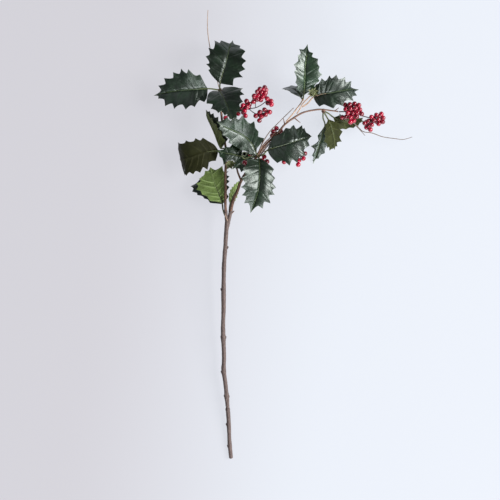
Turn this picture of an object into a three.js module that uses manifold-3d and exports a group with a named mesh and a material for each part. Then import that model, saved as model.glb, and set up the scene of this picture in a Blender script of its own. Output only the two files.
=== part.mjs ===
// Holly sprig, artificial, laid on its side: a moulded stem that forks into two wired branches,
// with die-cut spiny leaves on stalks, picks of glossy berries on wires, and two bare tendrils.
// Millimetres, +Z up, the surface it lies on is z = 0. +Y runs from the cut end to the leafy head.
import * as THREE from 'three';
import Module from 'manifold-3d';

// ---- driving dimensions (mm) ----
const BLADE_THICKNESS = 1.0;    // coated fabric blade
const STALK_RADIUS = 1.15;      // leaf stalk, the rib on the back of the blade
const STALK_ON_BLADE = 0.22;    // share of the midrib that the rib runs under
const STALK_CLEARANCE = 0.4;    // between a stalk's end and the joint it plugs against
const BERRY_RADIUS = 3.95;
const BERRY_WIRE_RADIUS = 0.5;
const STEM_SIDES = 8;
const TWIG_SIDES = 6;
// moves the drawing coordinates so that the origin is at the middle of the footprint, at the bottom
const ORIGIN_SHIFT = [-52.47, -24.87, -0.2];

const LEAVES = {
  leaf_01: { hub: [-47.3,250.9,45.0,3.2], via: [], mid: [[-66.2,252.5,53.0],[-83.9,251.3,56.0],[-101.4,250.2,53.0],[-115.6,249.6,48.0],[-137.2,246.8,38.0],[-152.3,244.1,27.0]],
    up: [0,0,1], twist: [0,0,0], foldA: [14,8,4], foldB: [34,26,12], bendA: [-0.3,-0.2,0], bendB: [-0.4,-0.3,0], wave: [1.6,24,0.1], curl: 0,
    a: [[3.6,15.9],[7.6,21.8],[14.1,18.0],[21.7,28.5],[27.1,25.1],[36.3,30.8],[40.4,22.7],[57.2,28.0],[59.8,19.1],[72.3,21.3],[73.4,10.3],[84.8,6.6],[84.0,3.5]],
    b: [[5.7,9.5],[11.9,24.2],[16.7,22.4],[25.5,33.6],[28.6,26.9],[36.7,35.2],[41.1,27.0],[49.1,30.1],[51.1,21.1],[65.5,23.1],[65.7,14.0],[78.2,13.4],[76.1,5.7]] },
  leaf_02: { hub: [-47.3,250.9,45.0,3.2], via: [], mid: [[-47.0,260.0,58.0],[-43.1,275.5,59.0],[-37.9,291.5,59.0],[-34.7,305.0,55.0],[-31.8,320.0,40.0],[-27.4,332.0,24.0]],
    up: [0,0,1], twist: [0,0,0], foldA: [2,4,16,26,14], foldB: [12,10,8], bendA: [0,-0.1,-0.8,-1.2,-0.8], bendB: [-0.2,-0.2,0], wave: [1.8,22,0.4], curl: 0,
    a: [[1.4,3.0],[9.3,15.6],[15.2,22.6],[17.1,20.3],[21.6,28.7],[23.9,24.5],[34.5,33.1],[38.4,28.1],[51.9,32.2],[50.6,24.6],[70.5,26.3],[65.9,17.5],[73.5,16.6],[75.9,2.4]],
    b: [[1.2,21.3],[12.3,19.8],[20.0,33.2],[25.6,24.9],[32.0,32.5],[35.3,25.6],[41.6,30.6],[47.7,22.0],[58.4,26.1],[69.3,16.0],[75.8,15.8],[78.3,5.5]] },
  leaf_03: { hub: [-47.3,250.9,45.0,3.2], via: [], mid: [[-46.4,246.9,56.0],[-41.6,237.8,69.0],[-37.2,227.6,78.0],[-31.8,212.8,87.0],[-26.8,198.5,92.0]],
    up: [0.0,0.6,0.8], twist: [0,0,0], foldA: [14,10,6], foldB: [14,10,6], bendA: [-0.2,-0.2,0], bendB: [-0.2,-0.2,0], wave: [1.6,22,0.2], curl: 0,
    a: [[-7.9,8.7],[-0.9,18.1],[5.3,25.9],[12.7,34.1],[18.9,28.0],[26.5,31.6],[25.9,24.8],[39.6,25.4],[41.1,19.0],[54.3,18.5],[53.5,10.3],[62.6,8.2],[60.8,4.0]],
    b: [[-4.9,10.6],[7.6,22.4],[27.1,30.4],[29.6,21.3],[38.0,26.8],[42.1,20.3],[47.8,17.9],[45.7,11.7],[53.3,9.3],[52.4,5.0],[62.8,3.7],[61.0,1.3]] },
  leaf_04: { hub: [11.3,148.2,44.5,3.4], via: [], mid: [[10.3,149.4,51.0],[4.2,163.8,55.0],[-7.7,177.1,57.0],[-17.8,182.7,61.5],[-27.8,186.4,67.5],[-36.1,189.4,73.0],[-51.1,198.7,77.0]],
    up: [0,0,1], twist: [0,0,0], foldA: [14,12,6], foldB: [20,12,6], bendA: [-0.3,-0.3,0], bendB: [-0.4,-0.3,0], wave: [1.8,24,0.0], curl: 0,
    a: [[2.1,4.5],[6.0,10.5],[13.9,14.6],[20.2,19.4],[35.9,21.2],[57.2,20.2],[57.3,14.9],[70.8,12.9],[71.5,8.1],[80.5,8.0],[81.1,2.4]],
    b: [[10.4,4.6],[16.5,21.6],[21.5,15.5],[26.1,20.9],[30.9,20.9],[37.2,28.3],[39.0,21.9],[56.3,28.5],[58.1,19.3],[67.8,22.7],[70.2,12.7],[78.8,15.2],[82.5,5.2]] },
  leaf_05: { hub: [11.3,148.2,44.5,3.4], via: [[-0.8,146.3,43.5],[-9.1,143.6,44.0]], mid: [[-13.5,146.8,47.0],[-21.2,148.6,49.5],[-29.7,150.3,51.5],[-39.9,152.1,53.0],[-51.9,154.8,54.0]],
    up: [0,0,1], twist: [0,0,0], foldA: [3,3,2], foldB: [-8,-8,-4], bendA: [0,0,0], bendB: [0,0,0], wave: [1.2,22,0.3], curl: 0,
    a: [[3.0,6.2],[7.2,10.4],[13.4,8.2],[16.8,11.1],[21.5,9.4],[25.7,19.0],[29.7,9.1],[34.2,7.3],[35.8,2.8]],
    b: [[0.5,9.3],[1.1,16.0],[7.1,12.6],[17.5,16.7],[21.1,10.2],[27.4,10.0],[30.1,4.7],[34.6,3.1],[36.8,1.3]] },
  leaf_06: { hub: [-37.9,154.3,34.0,3.0], via: [], mid: [[-49.4,156.0,41.0],[-62.8,154.9,44.0],[-78.5,150.7,46.0],[-92.7,145.4,44.0],[-103.6,143.5,37.5],[-108.6,143.6,28.0],[-109.8,144.4,14.0],[-106.5,145.3,0.3]],
    up: [0,0,-1], twist: [0,0,0], foldA: [-6,-4,0], foldB: [-6,-4,0], bendA: [0,0,0], bendB: [0,0,0], wave: [1.0,24,0.3], curl: 0,
    a: [[6.2,9.5],[13.7,16.0],[19.8,23.3],[23.8,20.2],[29.3,25.8],[32.2,22.2],[44.2,28.1],[49.8,24.5],[67,27],[70,19],[77,17],[79,10],[85,9],[86.5,4.5]],
    b: [[3.2,9.0],[5.7,15.7],[21.4,17.2],[26.3,27.3],[32.5,21.1],[40.7,27.5],[44.6,22.6],[48.4,26.6],[52.8,22.1],[59.2,26.7],[65.3,22.5],[67,26.5],[70,19],[77,16],[79,10],[85,9],[86.5,4.5]] },
  leaf_07: { hub: [-38.0,59.0,35.6,4.3], via: [[-42.3,63.1,32.6],[-43.3,68.5,31.4]], mid: [[-43.6,73.6,30.5],[-48.0,86.2,30.5],[-54.4,101.8,29.5],[-59.8,117.8,26.0],[-63.0,131.3,21.0]],
    up: [0,0,-1], twist: [0,0,0], foldA: [4,6,4], foldB: [4,4,2], bendA: [0,0,0], bendB: [0,0,0], wave: [1.2,20,0.2], curl: 0,
    a: [[2.8,5.6],[7.3,9.9],[15.6,9.0],[20.9,15.8],[26.5,13.6],[31.0,19.9],[36.8,17.1],[42.6,23.4],[49.7,19.2],[60.8,19.2],[55.7,7.0]],
    b: [[4.7,6.8],[11.2,18.0],[19.2,18.7],[26.0,25.1],[30.3,24.8],[34.9,31.2],[38.8,26.1],[43.8,27.6],[44.9,19.8],[48.6,21.5],[52.3,12.0],[58.4,9.4],[57.1,4.4]] },
  leaf_08: { hub: [-32.5,54.6,35.0,4.1], via: [[-32.7,62.6,29.6]], mid: [[-32.0,73.1,27.0],[-28.5,84.1,21.0],[-23.2,97.3,15.0],[-17.8,110.2,10.5]],
    up: [0,0,-1], twist: [-48,-50,-52], foldA: [6,6,4], foldB: [6,6,4], bendA: [0,0,0], bendB: [0,0,0], wave: [0.8,18,0.2], curl: 0,
    a: [[1.5,1.54],[5.5,7.48],[8.5,7.7],[14.0,12.76],[16.5,10.12],[21.0,14.08],[22.75,10.56],[27.25,12.32],[28.5,8.36],[34.0,8.8],[35.0,5.06],[39.0,4.62],[39.75,2.2]],
    b: [[1.5,1.05],[5.5,5.1],[8.5,5.25],[14.0,8.7],[16.5,6.8999999999999995],[21.0,9.6],[22.75,7.199999999999999],[27.25,8.4],[28.5,5.7],[34.0,6.0],[35.0,3.4499999999999997],[39.0,3.15],[39.75,1.5]] },
  leaf_09: { hub: [11.3,148.2,44.5,3.4], via: [], mid: [[14.4,143.0,53.0],[15.4,123.5,64.0],[14.8,107.2,67.0],[12.7,92.3,68.0],[9.5,81.5,66.0],[0.8,57.8,57.0]],
    up: [0,0,1], twist: [0,0,0], foldA: [30,30,20], foldB: [30,26,16], bendA: [-4.5,-4.3,-3.2], bendB: [-0.15,-0.15,-0.1], wave: [1.6,24,0.3], curl: [1.0,12.0,3.6,3.4,2.5],
    a: [[9.0,11.2],[14.3,17.9],[19.3,23.6],[27.9,19.4],[32.4,25.5],[40.9,21.5],[45.6,28.9],[49.9,22.6],[55.1,28.3],[56.7,19.5],[67.7,25.2],[67.9,14.2],[78.7,15.9],[76.4,7.5]],
    b: [[3.6,8.3],[5.8,22.2],[15.9,21.7],[23.8,28.6],[30.6,24.1],[39.2,30.4],[47.1,22.8],[54.6,29.1],[59.2,19.9],[67.5,23.2],[67.7,15.9],[79.5,15.4],[77.5,9.0]] },
  leaf_10: { hub: [11.3,148.2,44.5,3.7], via: [[19.4,148.9,49.5]], mid: [[27.6,157.6,50.0],[46.7,162.3,57.5],[62.7,167.2,60.0],[73.1,170.8,57.5],[83.6,174.6,50.5],[90.6,176.7,50.0],[96.4,177.7,53.5]],
    up: [0,0,1], twist: [0,0,0], foldA: [-4,-14,-20], foldB: [14,10,0], bendA: [0,0,0], bendB: [-0.4,-0.6,-0.4], wave: [1.6,24,0.2], curl: 0,
    a: [[6.3,8.5],[14.1,17.7],[23.1,17.8],[40.3,25.7],[47.3,22.7],[60.3,26.9],[60.6,19.2],[67.5,22.5],[67.4,16.0],[68.7,17.0],[69.4,8.3]],
    b: [[1.1,7.1],[11.4,24.9],[19.9,23.0],[27.4,34.0],[33.9,26.0],[38.6,32.5],[44.5,25.3],[53.0,25.3],[55.0,17.8],[69.7,13.5],[69.1,5.0]] },
  leaf_11: { hub: [83.0,235.9,47.5,2.0], via: [], mid: [[83.9,241.7,52.0],[85.0,252.6,60.0],[85.4,268.5,68.0],[85.9,287.4,71.0],[87.9,300.4,70.0],[89.7,320.8,63.0]],
    up: [0,0,1], twist: [0,0,0], foldA: [26,28,24], foldB: [24,22,12], bendA: [-0.3,-0.3,0], bendB: [-1.8,-1.6,-0.8], wave: [1.4,22,0.1], curl: 0,
    a: [[5.5,5.1],[14.3,13.7],[18.5,11.6],[24.8,15.8],[30.9,14.0],[40.2,18.2],[43.6,15.0],[49.3,19.4],[54.2,12.8],[62.3,15.0],[65.4,10.6],[72.5,14.1],[73.9,6.6]],
    b: [[7.3,5.8],[13.4,16.9],[20.6,16.1],[26.9,23.5],[30.8,21.1],[35.8,27.4],[41.5,21.5],[48.9,22.8],[55.0,19.0],[62.3,18.3],[64.3,8.6],[69.6,9.8],[72.1,3.3]] },
  leaf_12: { hub: [83.0,235.9,47.5,2.0], via: [], mid: [[80.7,238.9,46.0],[73.3,249.8,40.0],[64.7,254.8,32.0],[52.7,256.6,21.0]],
    up: [0.2,0.78,0.59], twist: [0,0,0], foldA: [10,10,4], foldB: [10,10,4], bendA: [0,0,0], bendB: [0,0,0], wave: [1.0,18,0.2], curl: 0,
    a: [[4,6],[12,15],[16,14],[25,17],[28,13],[36,12],[38,8]],
    b: [[4,6],[12,14],[16,12],[25,15],[28,11.5],[36,11],[38,7]] },
  leaf_13: { hub: [80.8,223.1,51.2,6.8], via: [[90.2,229.5,51.6]], mid: [[99.2,240.1,52.0],[112.3,242.9,60.0],[125.1,244.6,63.0],[137.2,247.3,61.0],[152.6,250.7,53.0],[171.5,252.6,38.0]],
    up: [0,0,1], twist: [0,0,0], foldA: [26,24,14], foldB: [14,12,6], bendA: [-0.3,-0.3,0], bendB: [-0.3,-0.3,0], wave: [1.8,22,0.3], curl: 0,
    a: [[6.5,9.6],[11.4,17.8],[15.6,18.2],[20.6,25.9],[24.4,20.7],[31.9,28.3],[34.3,22.8],[40.7,27.1],[43.4,19.3],[54.7,20.7],[55.3,12.5],[65.4,13.4],[65.2,4.3]],
    b: [[2.1,7.7],[8.6,18.3],[17.3,16.5],[29.2,25.0],[34.6,19.5],[42.2,24.1],[47.7,17.3],[65.7,18.4],[65.0,12.2],[76.8,10.0],[70.6,5.7]] },
  leaf_14: { hub: [115.3,218.5,43.4,3.1], via: [], mid: [[122.3,206.0,41.5],[126.6,196.4,43.5],[130.6,184.1,40.0],[132.9,173.7,32.0],[134.3,159.4,18.0]],
    up: [0,0,-1], twist: [0,0,0], foldA: [-8,-8,-4], foldB: [-8,-8,-4], bendA: [0,0,0], bendB: [0,0,0], wave: [1.2,20,0.3], curl: 0,
    a: [[4.0,2.6],[7.9,8.8],[14.2,9.1],[20.1,13.9],[26.6,13.1],[34.8,17.1],[40.2,12.9],[50.4,12.6],[48.6,9.9],[57.5,8.6],[50.5,4.0]],
    b: [[6.0,5.2],[13.7,13.5],[19.2,11.3],[25.5,15.1],[33.0,9.1],[43.1,11.7],[43.1,4.4],[51.8,4.5],[50.6,1.9]] },
  leaf_15: { hub: [115.3,218.5,43.4,3.1], via: [[115.0,207.9,38.0]], mid: [[118.7,198.1,32.5],[115.0,186.5,29.5],[111.6,172.7,23.0],[107.0,156.8,12.0],[101.1,138.2,0.7]],
    up: [0,0,1], twist: [0,0,0], foldA: [10,10,6], foldB: [-6,-8,-4], bendA: [0,0,0], bendB: [0,0,0], wave: [1.0,22,0.2], curl: 0,
    a: [[3.9,3.7],[12.8,9.5],[22.1,8.6],[32.1,12.3],[36.6,10.9],[46.0,12.4],[50.7,7.6],[59.0,5.7],[61.0,1.8]],
    b: [[6.6,1.2],[21.0,6.6],[28.2,3.0],[42.7,12.2],[46.1,5.0],[57.5,6.2],[59.8,2.6],[66.0,2.6],[66.1,1.4]] },
  leaf_16: { hub: [-37.9,154.3,34.0,3.0], via: [[-41.3,159.7,37.8]], mid: [[-45.3,159.9,39.8],[-48.8,166.5,39.5],[-55.1,182.1,37.5],[-62.1,197.5,34.0],[-67.7,210.3,28.5],[-69.5,222.4,21.0]],
    up: [0,0,1], twist: [0,0,0], foldA: [138,124,112,108,104], foldB: [25,26,22], bendA: [0,0,0], bendB: [0,0,0], wave: [1.0,20,0.2], curl: 0,
    a: [[2,8],[8,17],[13,15.5],[22,20],[26,16],[34,20],[37.5,15],[45,17],[47.5,11.5],[56,12],[58,7],[64,6.5],[65.5,3.5]],
    b: [[2,6],[8,19],[13,16],[22,21],[26,15.5],[34,20],[37.5,14.5],[45,18],[47.5,12],[56,13],[58,7.5],[64,7],[65.5,3.5]] },
  leaf_17: { hub: [115.3,218.5,43.4,3.1], via: [[123.3,214.8,41.0]], mid: [[130.8,208.9,37.0],[138.9,206.2,32.0],[150.5,203.1,24.0],[163.9,202.4,13.0],[181.7,206.3,0.9]],
    up: [0,0,-1], twist: [0,0,0], foldA: [-6,-6,0], foldB: [-6,-6,0], bendA: [0,0,0], bendB: [0,0,0], wave: [1.2,22,0.4], curl: 0,
    a: [[4.8,5.0],[16.1,15.6],[21.9,11.9],[28.3,11.5],[34.9,7.9],[42.9,8.3],[47.1,5.4],[53.0,5.5],[55.3,2.3]],
    b: [[4.6,2.9],[11.3,8.5],[18.3,7.2],[28.4,14.5],[35.4,10.2],[50.9,12.7],[51.6,7.7],[62.9,5.7],[58.5,3.3]] },
  leaf_18: { hub: [11.3,148.2,44.5,3.4], via: [], mid: [[3.8,144.4,31.0],[-3.8,141.3,29.0],[-12.0,137.4,25.0],[-20.6,133.0,19.0],[-28.3,128.5,12.0]],
    up: [0,0,1], twist: [0,0,0], foldA: [4,4,4], foldB: [4,4,4], bendA: [0,0,0], bendB: [0,0,0], wave: [1.2,22,0.1], curl: 0,
    a: [[4.9,6.2],[16.7,18.2],[20.0,11.4],[27.2,11.8],[27.5,5.3],[34.1,2.9],[34.1,0.0]],
    b: [[1.2,5.6],[4.4,13.4],[11.0,10.3],[15.7,15.4],[21.2,10.2],[28.3,13.1],[31.1,5.8]] },
  leaf_19: { hub: [-38.6,53.3,34.6,2.7], via: [[-41.4,59.1,30.0],[-43.0,65.8,26.4]], mid: [[-43.7,72.6,23.5],[-49.2,85.0,21.0],[-54.3,98.2,16.5],[-58.3,112.1,10.5],[-61.3,123.9,4.5]],
    up: [0,0,1], twist: [0,0,0], foldA: [3,3,2], foldB: [3,3,2], bendA: [0,0,0], bendB: [0,0,0], wave: [1.2,20,0.2], curl: 0,
    a: [[4.3,7.4],[9.8,17.2],[15.7,18.4],[18.7,22.9],[23.4,24.1],[28.2,31.4],[32.5,30.8],[34.2,37.5],[37.5,34.3],[43.3,37.9],[47.3,26.6],[55.2,16.4],[53.2,9.3]],
    b: [[3.1,7.7],[6.6,14.1],[15.3,13.4],[21.3,21.0],[28.4,18.2],[32.9,24.2],[38.5,20.8],[40.8,26.4],[46.0,21.2],[51.1,26.8],[52.1,11.8]] },
};
const STEMS = {
  main_stem: [[-30.5,-331.4,3.0,3.0],[-32.6,-307.5,5.0,3.1],[-34.0,-271.7,8.2,3.2],[-36.9,-236.0,11.3,3.2],[-39.3,-212.3,13.3,3.25],[-41.8,-191.6,15.0,3.3],[-41.3,-170.8,16.8,3.3],[-42.4,-138.1,19.5,3.35],[-42.7,-123.7,20.7,3.35],[-42.0,-94.3,23.2,3.4],[-41.9,-61.7,25.8,3.45],[-41.1,-26.7,28.6,3.5],[-39.2,2.5,31.0,3.6],[-38.0,22.9,32.6,3.9],[-36.0,45.7,34.4,4.4]],
  branch_left: [[-37.2,51.1,35.0,2.3],[-38.5,64.9,36.0,2.2],[-38.8,78.8,36.6,2.1],[-38.4,94.5,36.8,2.05],[-38.8,116.6,36.4,2.0],[-38.2,134.0,35.2,2.0],[-37.9,154.6,33.4,1.9],[-40.1,173.6,32.2,1.8],[-42.8,192.5,33.0,1.75],[-44.8,211.2,35.6,1.7],[-46.6,231.2,40.4,1.6],[-47.3,250.3,44.9,1.6]],
  branch_right: [[-32.5,51.4,35.2,2.7],[-30.6,60.7,36.0,2.65],[-25.2,81.3,37.0,2.5],[-19.5,93.9,38.0,2.4],[-14.2,108.6,39.0,2.35],[-8.5,118.0,39.8,2.2],[0.8,133.6,42.0,2.05],[11.0,147.0,44.2,2.0],[25.7,166.0,46.0,1.75],[44.7,184.9,47.0,1.65],[54.1,196.4,47.0,1.55],[69.3,207.7,47.0,1.45],[82.7,215.4,46.6,1.35],[97.9,219.3,45.6,1.3],[111.3,220.8,44.4,1.25],[124.8,219.5,42.8,1.15],[138.4,217.7,41.0,1.0]],
  hollow_stub: [[6.6,149.3,45.4,1.5],[-0.9,151.6,45.4,1.5],[-6.9,151.8,47.0,1.6],[-9.1,150.7,50.6,2.4],[-8.9,150.2,55.0,3.7]],
  twig_long: [[15.1,156.2,48.0,0.8],[19.9,167.9,50.6,0.8],[31.3,185.6,52.0,0.75],[44.6,199.3,53.0,0.7],[68.2,222.1,55.0,0.6]],
  twig_w1: [[56.7,201.2,49.3,0.85],[65.5,211.3,50.2,0.85],[75.1,223.8,49.6,0.85],[79.8,230.1,48.6,0.85],[82.6,234.9,47.8,0.85]],
  twig_w2: [[73.7,213.8,49.0,0.8],[77.7,219.9,50.6,0.75],[82.9,229.1,53.0,0.75],[90.3,236.8,57.4,0.75],[97.5,244.2,64.0,0.8]],
  tendril_top: [[-48.8,255.5,44.6,0.65],[-50.9,264.1,42.4,0.65],[-54.3,275.4,39.0,0.65],[-59.2,299.8,33.0,0.65],[-63.4,320.4,28.0,0.65],[-67.2,348.8,22.0,0.6],[-66.8,381.4,16.0,0.45]],
  tendril_right: [[141.0,214.1,38.8,0.7],[149.0,206.5,35.4,0.7],[165.8,199.0,31.0,0.7],[179.6,187.2,26.0,0.65],[191.8,185.6,24.0,0.65],[210.8,179.5,21.0,0.6],[230.2,176.8,19.0,0.55],[241.4,175.5,18.0,0.5],[257.4,179.5,17.0,0.4]],
};
const SPURS = {
  branch_left: [[[-36.9,143.5,35.4,0.9],[-33.4,138.6,37.6,0.9],[-31.1,135.6,40.4,2.2]]],
  branch_right: [[[-29.0,58.0,36.0,1.4],[-25.2,61.4,38.6,0.8]],[[54.3,198.2,47.4,1.0],[52.3,205.9,49.0,0.5]],[[70.0,206.8,47.0,1.0],[78.8,199.9,46.0,0.5]],[[133.0,218.5,42.0,0.9],[139.6,223.5,42.6,0.5]],[[-13.5,108.3,39.0,1.7],[-16.7,115.8,40.4,1.6],[-19.2,122.3,41.4,1.5],[-20.6,128.0,42.0,1.3]]],
  tendril_right: [[[166.3,197.4,31.0,0.6],[174.5,189.0,29.0,0.55],[181.9,180.9,28.0,0.4]]],
};
const HUBS = {
  branch_left: [[-47.3,250.9,45.0,3.2],[-37.9,154.3,34.0,3.0]],
  branch_right: [[11.3,148.2,44.5,3.4],[115.3,218.5,43.4,3.1]],
  twig_w1: [[83.0,235.9,47.5,2.0]],
  twig_w2: [[98.1,244.6,65.0,4.2]],
};
const KNOTS = [[-35.7,3.9,31.4,2.4,2.0],[-45.0,-62.5,25.8,2.4,1.9],[-44.9,-138.1,19.5,2.6,2.0],[-39.4,-139.0,19.6,2.6,2.0],[-44.7,-194.0,14.8,2.8,1.9],[-39.8,-232.5,11.6,2.2,2.0],[-34.4,-233.4,11.5,2.2,2.0],[-37.0,-278.3,7.6,2.4,1.9],[-34.8,-313.0,4.6,2.4,1.9]];
const PICKS = {
  berry_pick_a: { wires: [[[-41.7,208.5,37.4,0.8],[-31.5,213.1,41.0,0.8],[-15.7,219.9,44.0,0.75],[-1.3,221.7,46.0,0.75]],[[-1.3,221.7,46.0,0.7],[9.6,223.5,47.0,0.7],[25.1,232.9,49.0,0.7]],[[8.9,223.5,47.0,0.65],[8.9,231.7,49.0,0.65],[13.5,241.3,50.0,0.65]],[[-1.3,221.4,46.0,0.65],[7.7,214.5,46.5,0.65],[17.3,213.1,46.5,0.65]]],
    berries: [[23.0,254.3,54.0,13.5,241.3,50.0],[15.5,251.6,58.6,13.5,241.3,50.0],[20.3,250.3,54.7,13.5,241.3,50.0],[11.2,247.0,58.4,13.5,241.3,50.0],[17.8,245.9,56.7,13.5,241.3,50.0],[24.1,245.3,56.4,13.5,241.3,50.0],[6.6,240.4,58.4,13.5,241.3,50.0],[13.1,241.4,55.9,13.5,241.3,50.0],[20.0,239.5,58.4,13.5,241.3,50.0],[11.3,235.5,55.5,13.5,241.3,50.0],[16.9,234.7,56.5,13.5,241.3,50.0],[5.3,231.8,53.8,13.5,241.3,50.0],[26.9,236.8,52.1,25.1,232.9,49.0],[32.9,233.4,50.0,25.1,232.9,49.0],[33.5,228.0,51.6,25.1,232.9,49.0],[22.7,219.8,48.8,17.3,213.1,46.5],[31.0,216.2,48.8,17.3,213.1,46.5],[15.5,216.0,50.5,17.3,213.1,46.5],[24.4,212.0,51.4,17.3,213.1,46.5],[8.9,210.1,51.6,17.3,213.1,46.5],[17.5,209.0,49.9,17.3,213.1,46.5],[14.6,202.8,50.5,17.3,213.1,46.5],[-5.5,233.3,51.0,-5.3,221.5,45.6],[-0.9,228.4,50.1,-5.3,221.5,45.6],[-11.0,226.3,52.1,-5.3,221.5,45.6],[-4.8,223.3,54.6,-5.3,221.5,45.6],[-14.1,220.9,49.8,-5.3,221.5,45.6],[-8.8,217.5,53.1,-5.3,221.5,45.6],[-7.2,210.4,46.8,-5.3,221.5,45.6],[-18.5,214.3,43.0,-28.3,214.4,42.0],[-38.3,207.4,42.9,-28.3,214.4,42.0],[-24.8,210.2,47.1,-28.3,214.4,42.0],[19.2,248.0,43.0,13.5,241.3,50.0],[12.3,241.1,42.5,13.5,241.3,50.0],[25.0,251.4,43.5,13.5,241.3,50.0],[16.7,238.2,43.0,13.5,241.3,50.0],[7.2,237.3,43.0,13.5,241.3,50.0],[22.9,243.2,43.5,13.5,241.3,50.0],[13.2,249.6,42.5,13.5,241.3,50.0],[28.0,231.1,42.0,25.1,232.9,49.0],[19.8,211.7,40.5,17.3,213.1,46.5],[27.0,217.3,41.0,17.3,213.1,46.5],[13.8,213.0,40.5,17.3,213.1,46.5],[-5.7,227.8,40.5,-5.3,221.5,45.6],[-9.4,222.8,40.2,-5.3,221.5,45.6],[-2.2,224.3,40.4,-5.3,221.5,45.6],[-10.7,216.2,40.2,-5.3,221.5,45.6]] },
  berry_pick_b: { wires: [[[140.3,217.4,40.6,0.9],[151.0,217.7,40.0,0.9],[163.7,216.6,38.6,0.85],[177.1,211.3,36.0,0.8],[187.9,208.9,33.5,0.75],[200.6,207.5,31.0,0.7]]],
    berries: [[149.4,228.2,43.9,159.0,216.9,39.2],[156.3,228.2,49.1,159.0,216.9,39.2],[164.1,229.8,44.4,159.0,216.9,39.2],[170.9,227.4,45.8,159.0,216.9,39.2],[150.0,220.9,46.9,159.0,216.9,39.2],[157.3,221.2,49.8,159.0,216.9,39.2],[164.9,221.7,51.5,159.0,216.9,39.2],[172.4,220.4,45.1,159.0,216.9,39.2],[153.0,214.6,50.5,159.0,216.9,39.2],[160.8,214.4,49.5,159.0,216.9,39.2],[168.2,215.3,49.1,159.0,216.9,39.2],[175.1,213.5,47.0,159.0,216.9,39.2],[150.7,208.8,45.3,159.0,216.9,39.2],[157.6,207.7,50.0,159.0,216.9,39.2],[167.2,209.5,47.6,159.0,216.9,39.2],[145.0,208.8,41.4,159.0,216.9,39.2],[157.5,200.9,46.3,159.0,216.9,39.2],[163.0,203.2,44.4,159.0,216.9,39.2],[207.0,214.6,35.2,195.1,207.9,32.0],[199.2,212.8,35.6,195.1,207.9,32.0],[191.1,209.3,39.4,195.1,207.9,32.0],[210.0,208.4,33.6,195.1,207.9,32.0],[202.5,205.9,38.5,195.1,207.9,32.0],[195.0,203.4,41.7,195.1,207.9,32.0],[186.9,203.3,36.1,195.1,207.9,32.0],[191.3,197.0,39.6,195.1,207.9,32.0],[209.1,202.0,35.0,195.1,207.9,32.0],[202.5,198.7,38.4,195.1,207.9,32.0],[180.7,199.9,35.1,195.1,207.9,32.0],[183.9,193.6,30.7,195.1,207.9,32.0],[189.8,189.8,35.4,195.1,207.9,32.0],[154.6,225.9,33.5,159.0,216.9,39.2],[161.9,226.6,33.0,159.0,216.9,39.2],[169.4,225.9,33.5,159.0,216.9,39.2],[158.1,219.0,33.0,159.0,216.9,39.2],[166.0,220.0,33.0,159.0,216.9,39.2],[173.2,218.0,33.5,159.0,216.9,39.2],[155.6,212.7,33.0,159.0,216.9,39.2],[164.4,213.0,33.0,159.0,216.9,39.2],[204.1,211.8,22.5,195.1,207.9,32.0],[196.2,208.6,22.5,195.1,207.9,32.0],[208.0,206.4,22.5,195.1,207.9,32.0],[200.3,203.5,22.5,195.1,207.9,32.0],[190.8,201.9,22.5,195.1,207.9,32.0],[187.4,197.2,22.0,195.1,207.9,32.0],[184.5,202.9,22.5,195.1,207.9,32.0]] },
  berry_pick_c: { wires: [[[19.5,158.4,42.4,0.7],[25.2,165.5,40.4,0.7],[34.7,177.4,37.2,0.7],[43.5,186.0,35.5,0.7]]],
    berries: [[41.6,191.6,38.6,41.6,185.4,35.5],[36.5,186.2,40.7,41.6,185.4,35.5],[35.0,180.3,35.5,41.6,185.4,35.5],[48.3,187.2,39.8,41.6,185.4,35.5],[53.6,182.9,35.5,41.6,185.4,35.5],[45.2,182.6,31.0,41.6,185.4,35.5],[39.5,183.9,30.5,41.6,185.4,35.5]] },
  berry_pick_d: { wires: [[[18.2,153.2,40.6,0.7],[27.6,156.2,37.4,0.7],[39.5,152.4,33.0,0.7],[53.7,145.1,29.0,0.7],[79.1,144.6,27.0,0.7]]],
    berries: [[87.0,152.5,26.8,79.1,144.6,27.0],[84.3,144.6,32.2,79.1,144.6,27.0],[77.5,142.0,28.1,79.1,144.6,27.0],[76.2,135.0,28.6,79.1,144.6,27.0],[53.7,139.2,30.2,53.7,145.1,29.0],[81.8,151.2,22.5,79.1,144.6,27.0]] },
  berry_pick_e: { wires: [[[15.7,143.7,42.0,0.7],[21.1,143.3,38.4,0.7]]],
    berries: [[22.4,147.1,37.5,21.1,143.3,38.4],[18.9,140.6,40.3,21.1,143.3,38.4],[26.8,139.7,35.0,21.1,143.3,38.4]] },
  berry_pick_f: { wires: [[[6.0,149.7,41.8,0.7],[0.9,149.2,39.0,0.7],[-5.0,141.7,38.0,0.7]]],
    berries: [[0.3,151.2,38.0,0.9,149.2,39.0],[5.3,156.4,40.0,0.9,149.2,39.0],[-1.9,158.2,36.1,0.9,149.2,39.0],[-8.2,137.5,40.1,-5.0,141.7,38.0],[-4.7,131.7,36.1,-5.0,141.7,38.0]] },
};

const wasm = await Module();
wasm.setup();

// ---- small vector kit ----
const V = (p) => new THREE.Vector3(p[0], p[1], p[2]);
const rad = (d) => (d * Math.PI) / 180;

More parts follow.
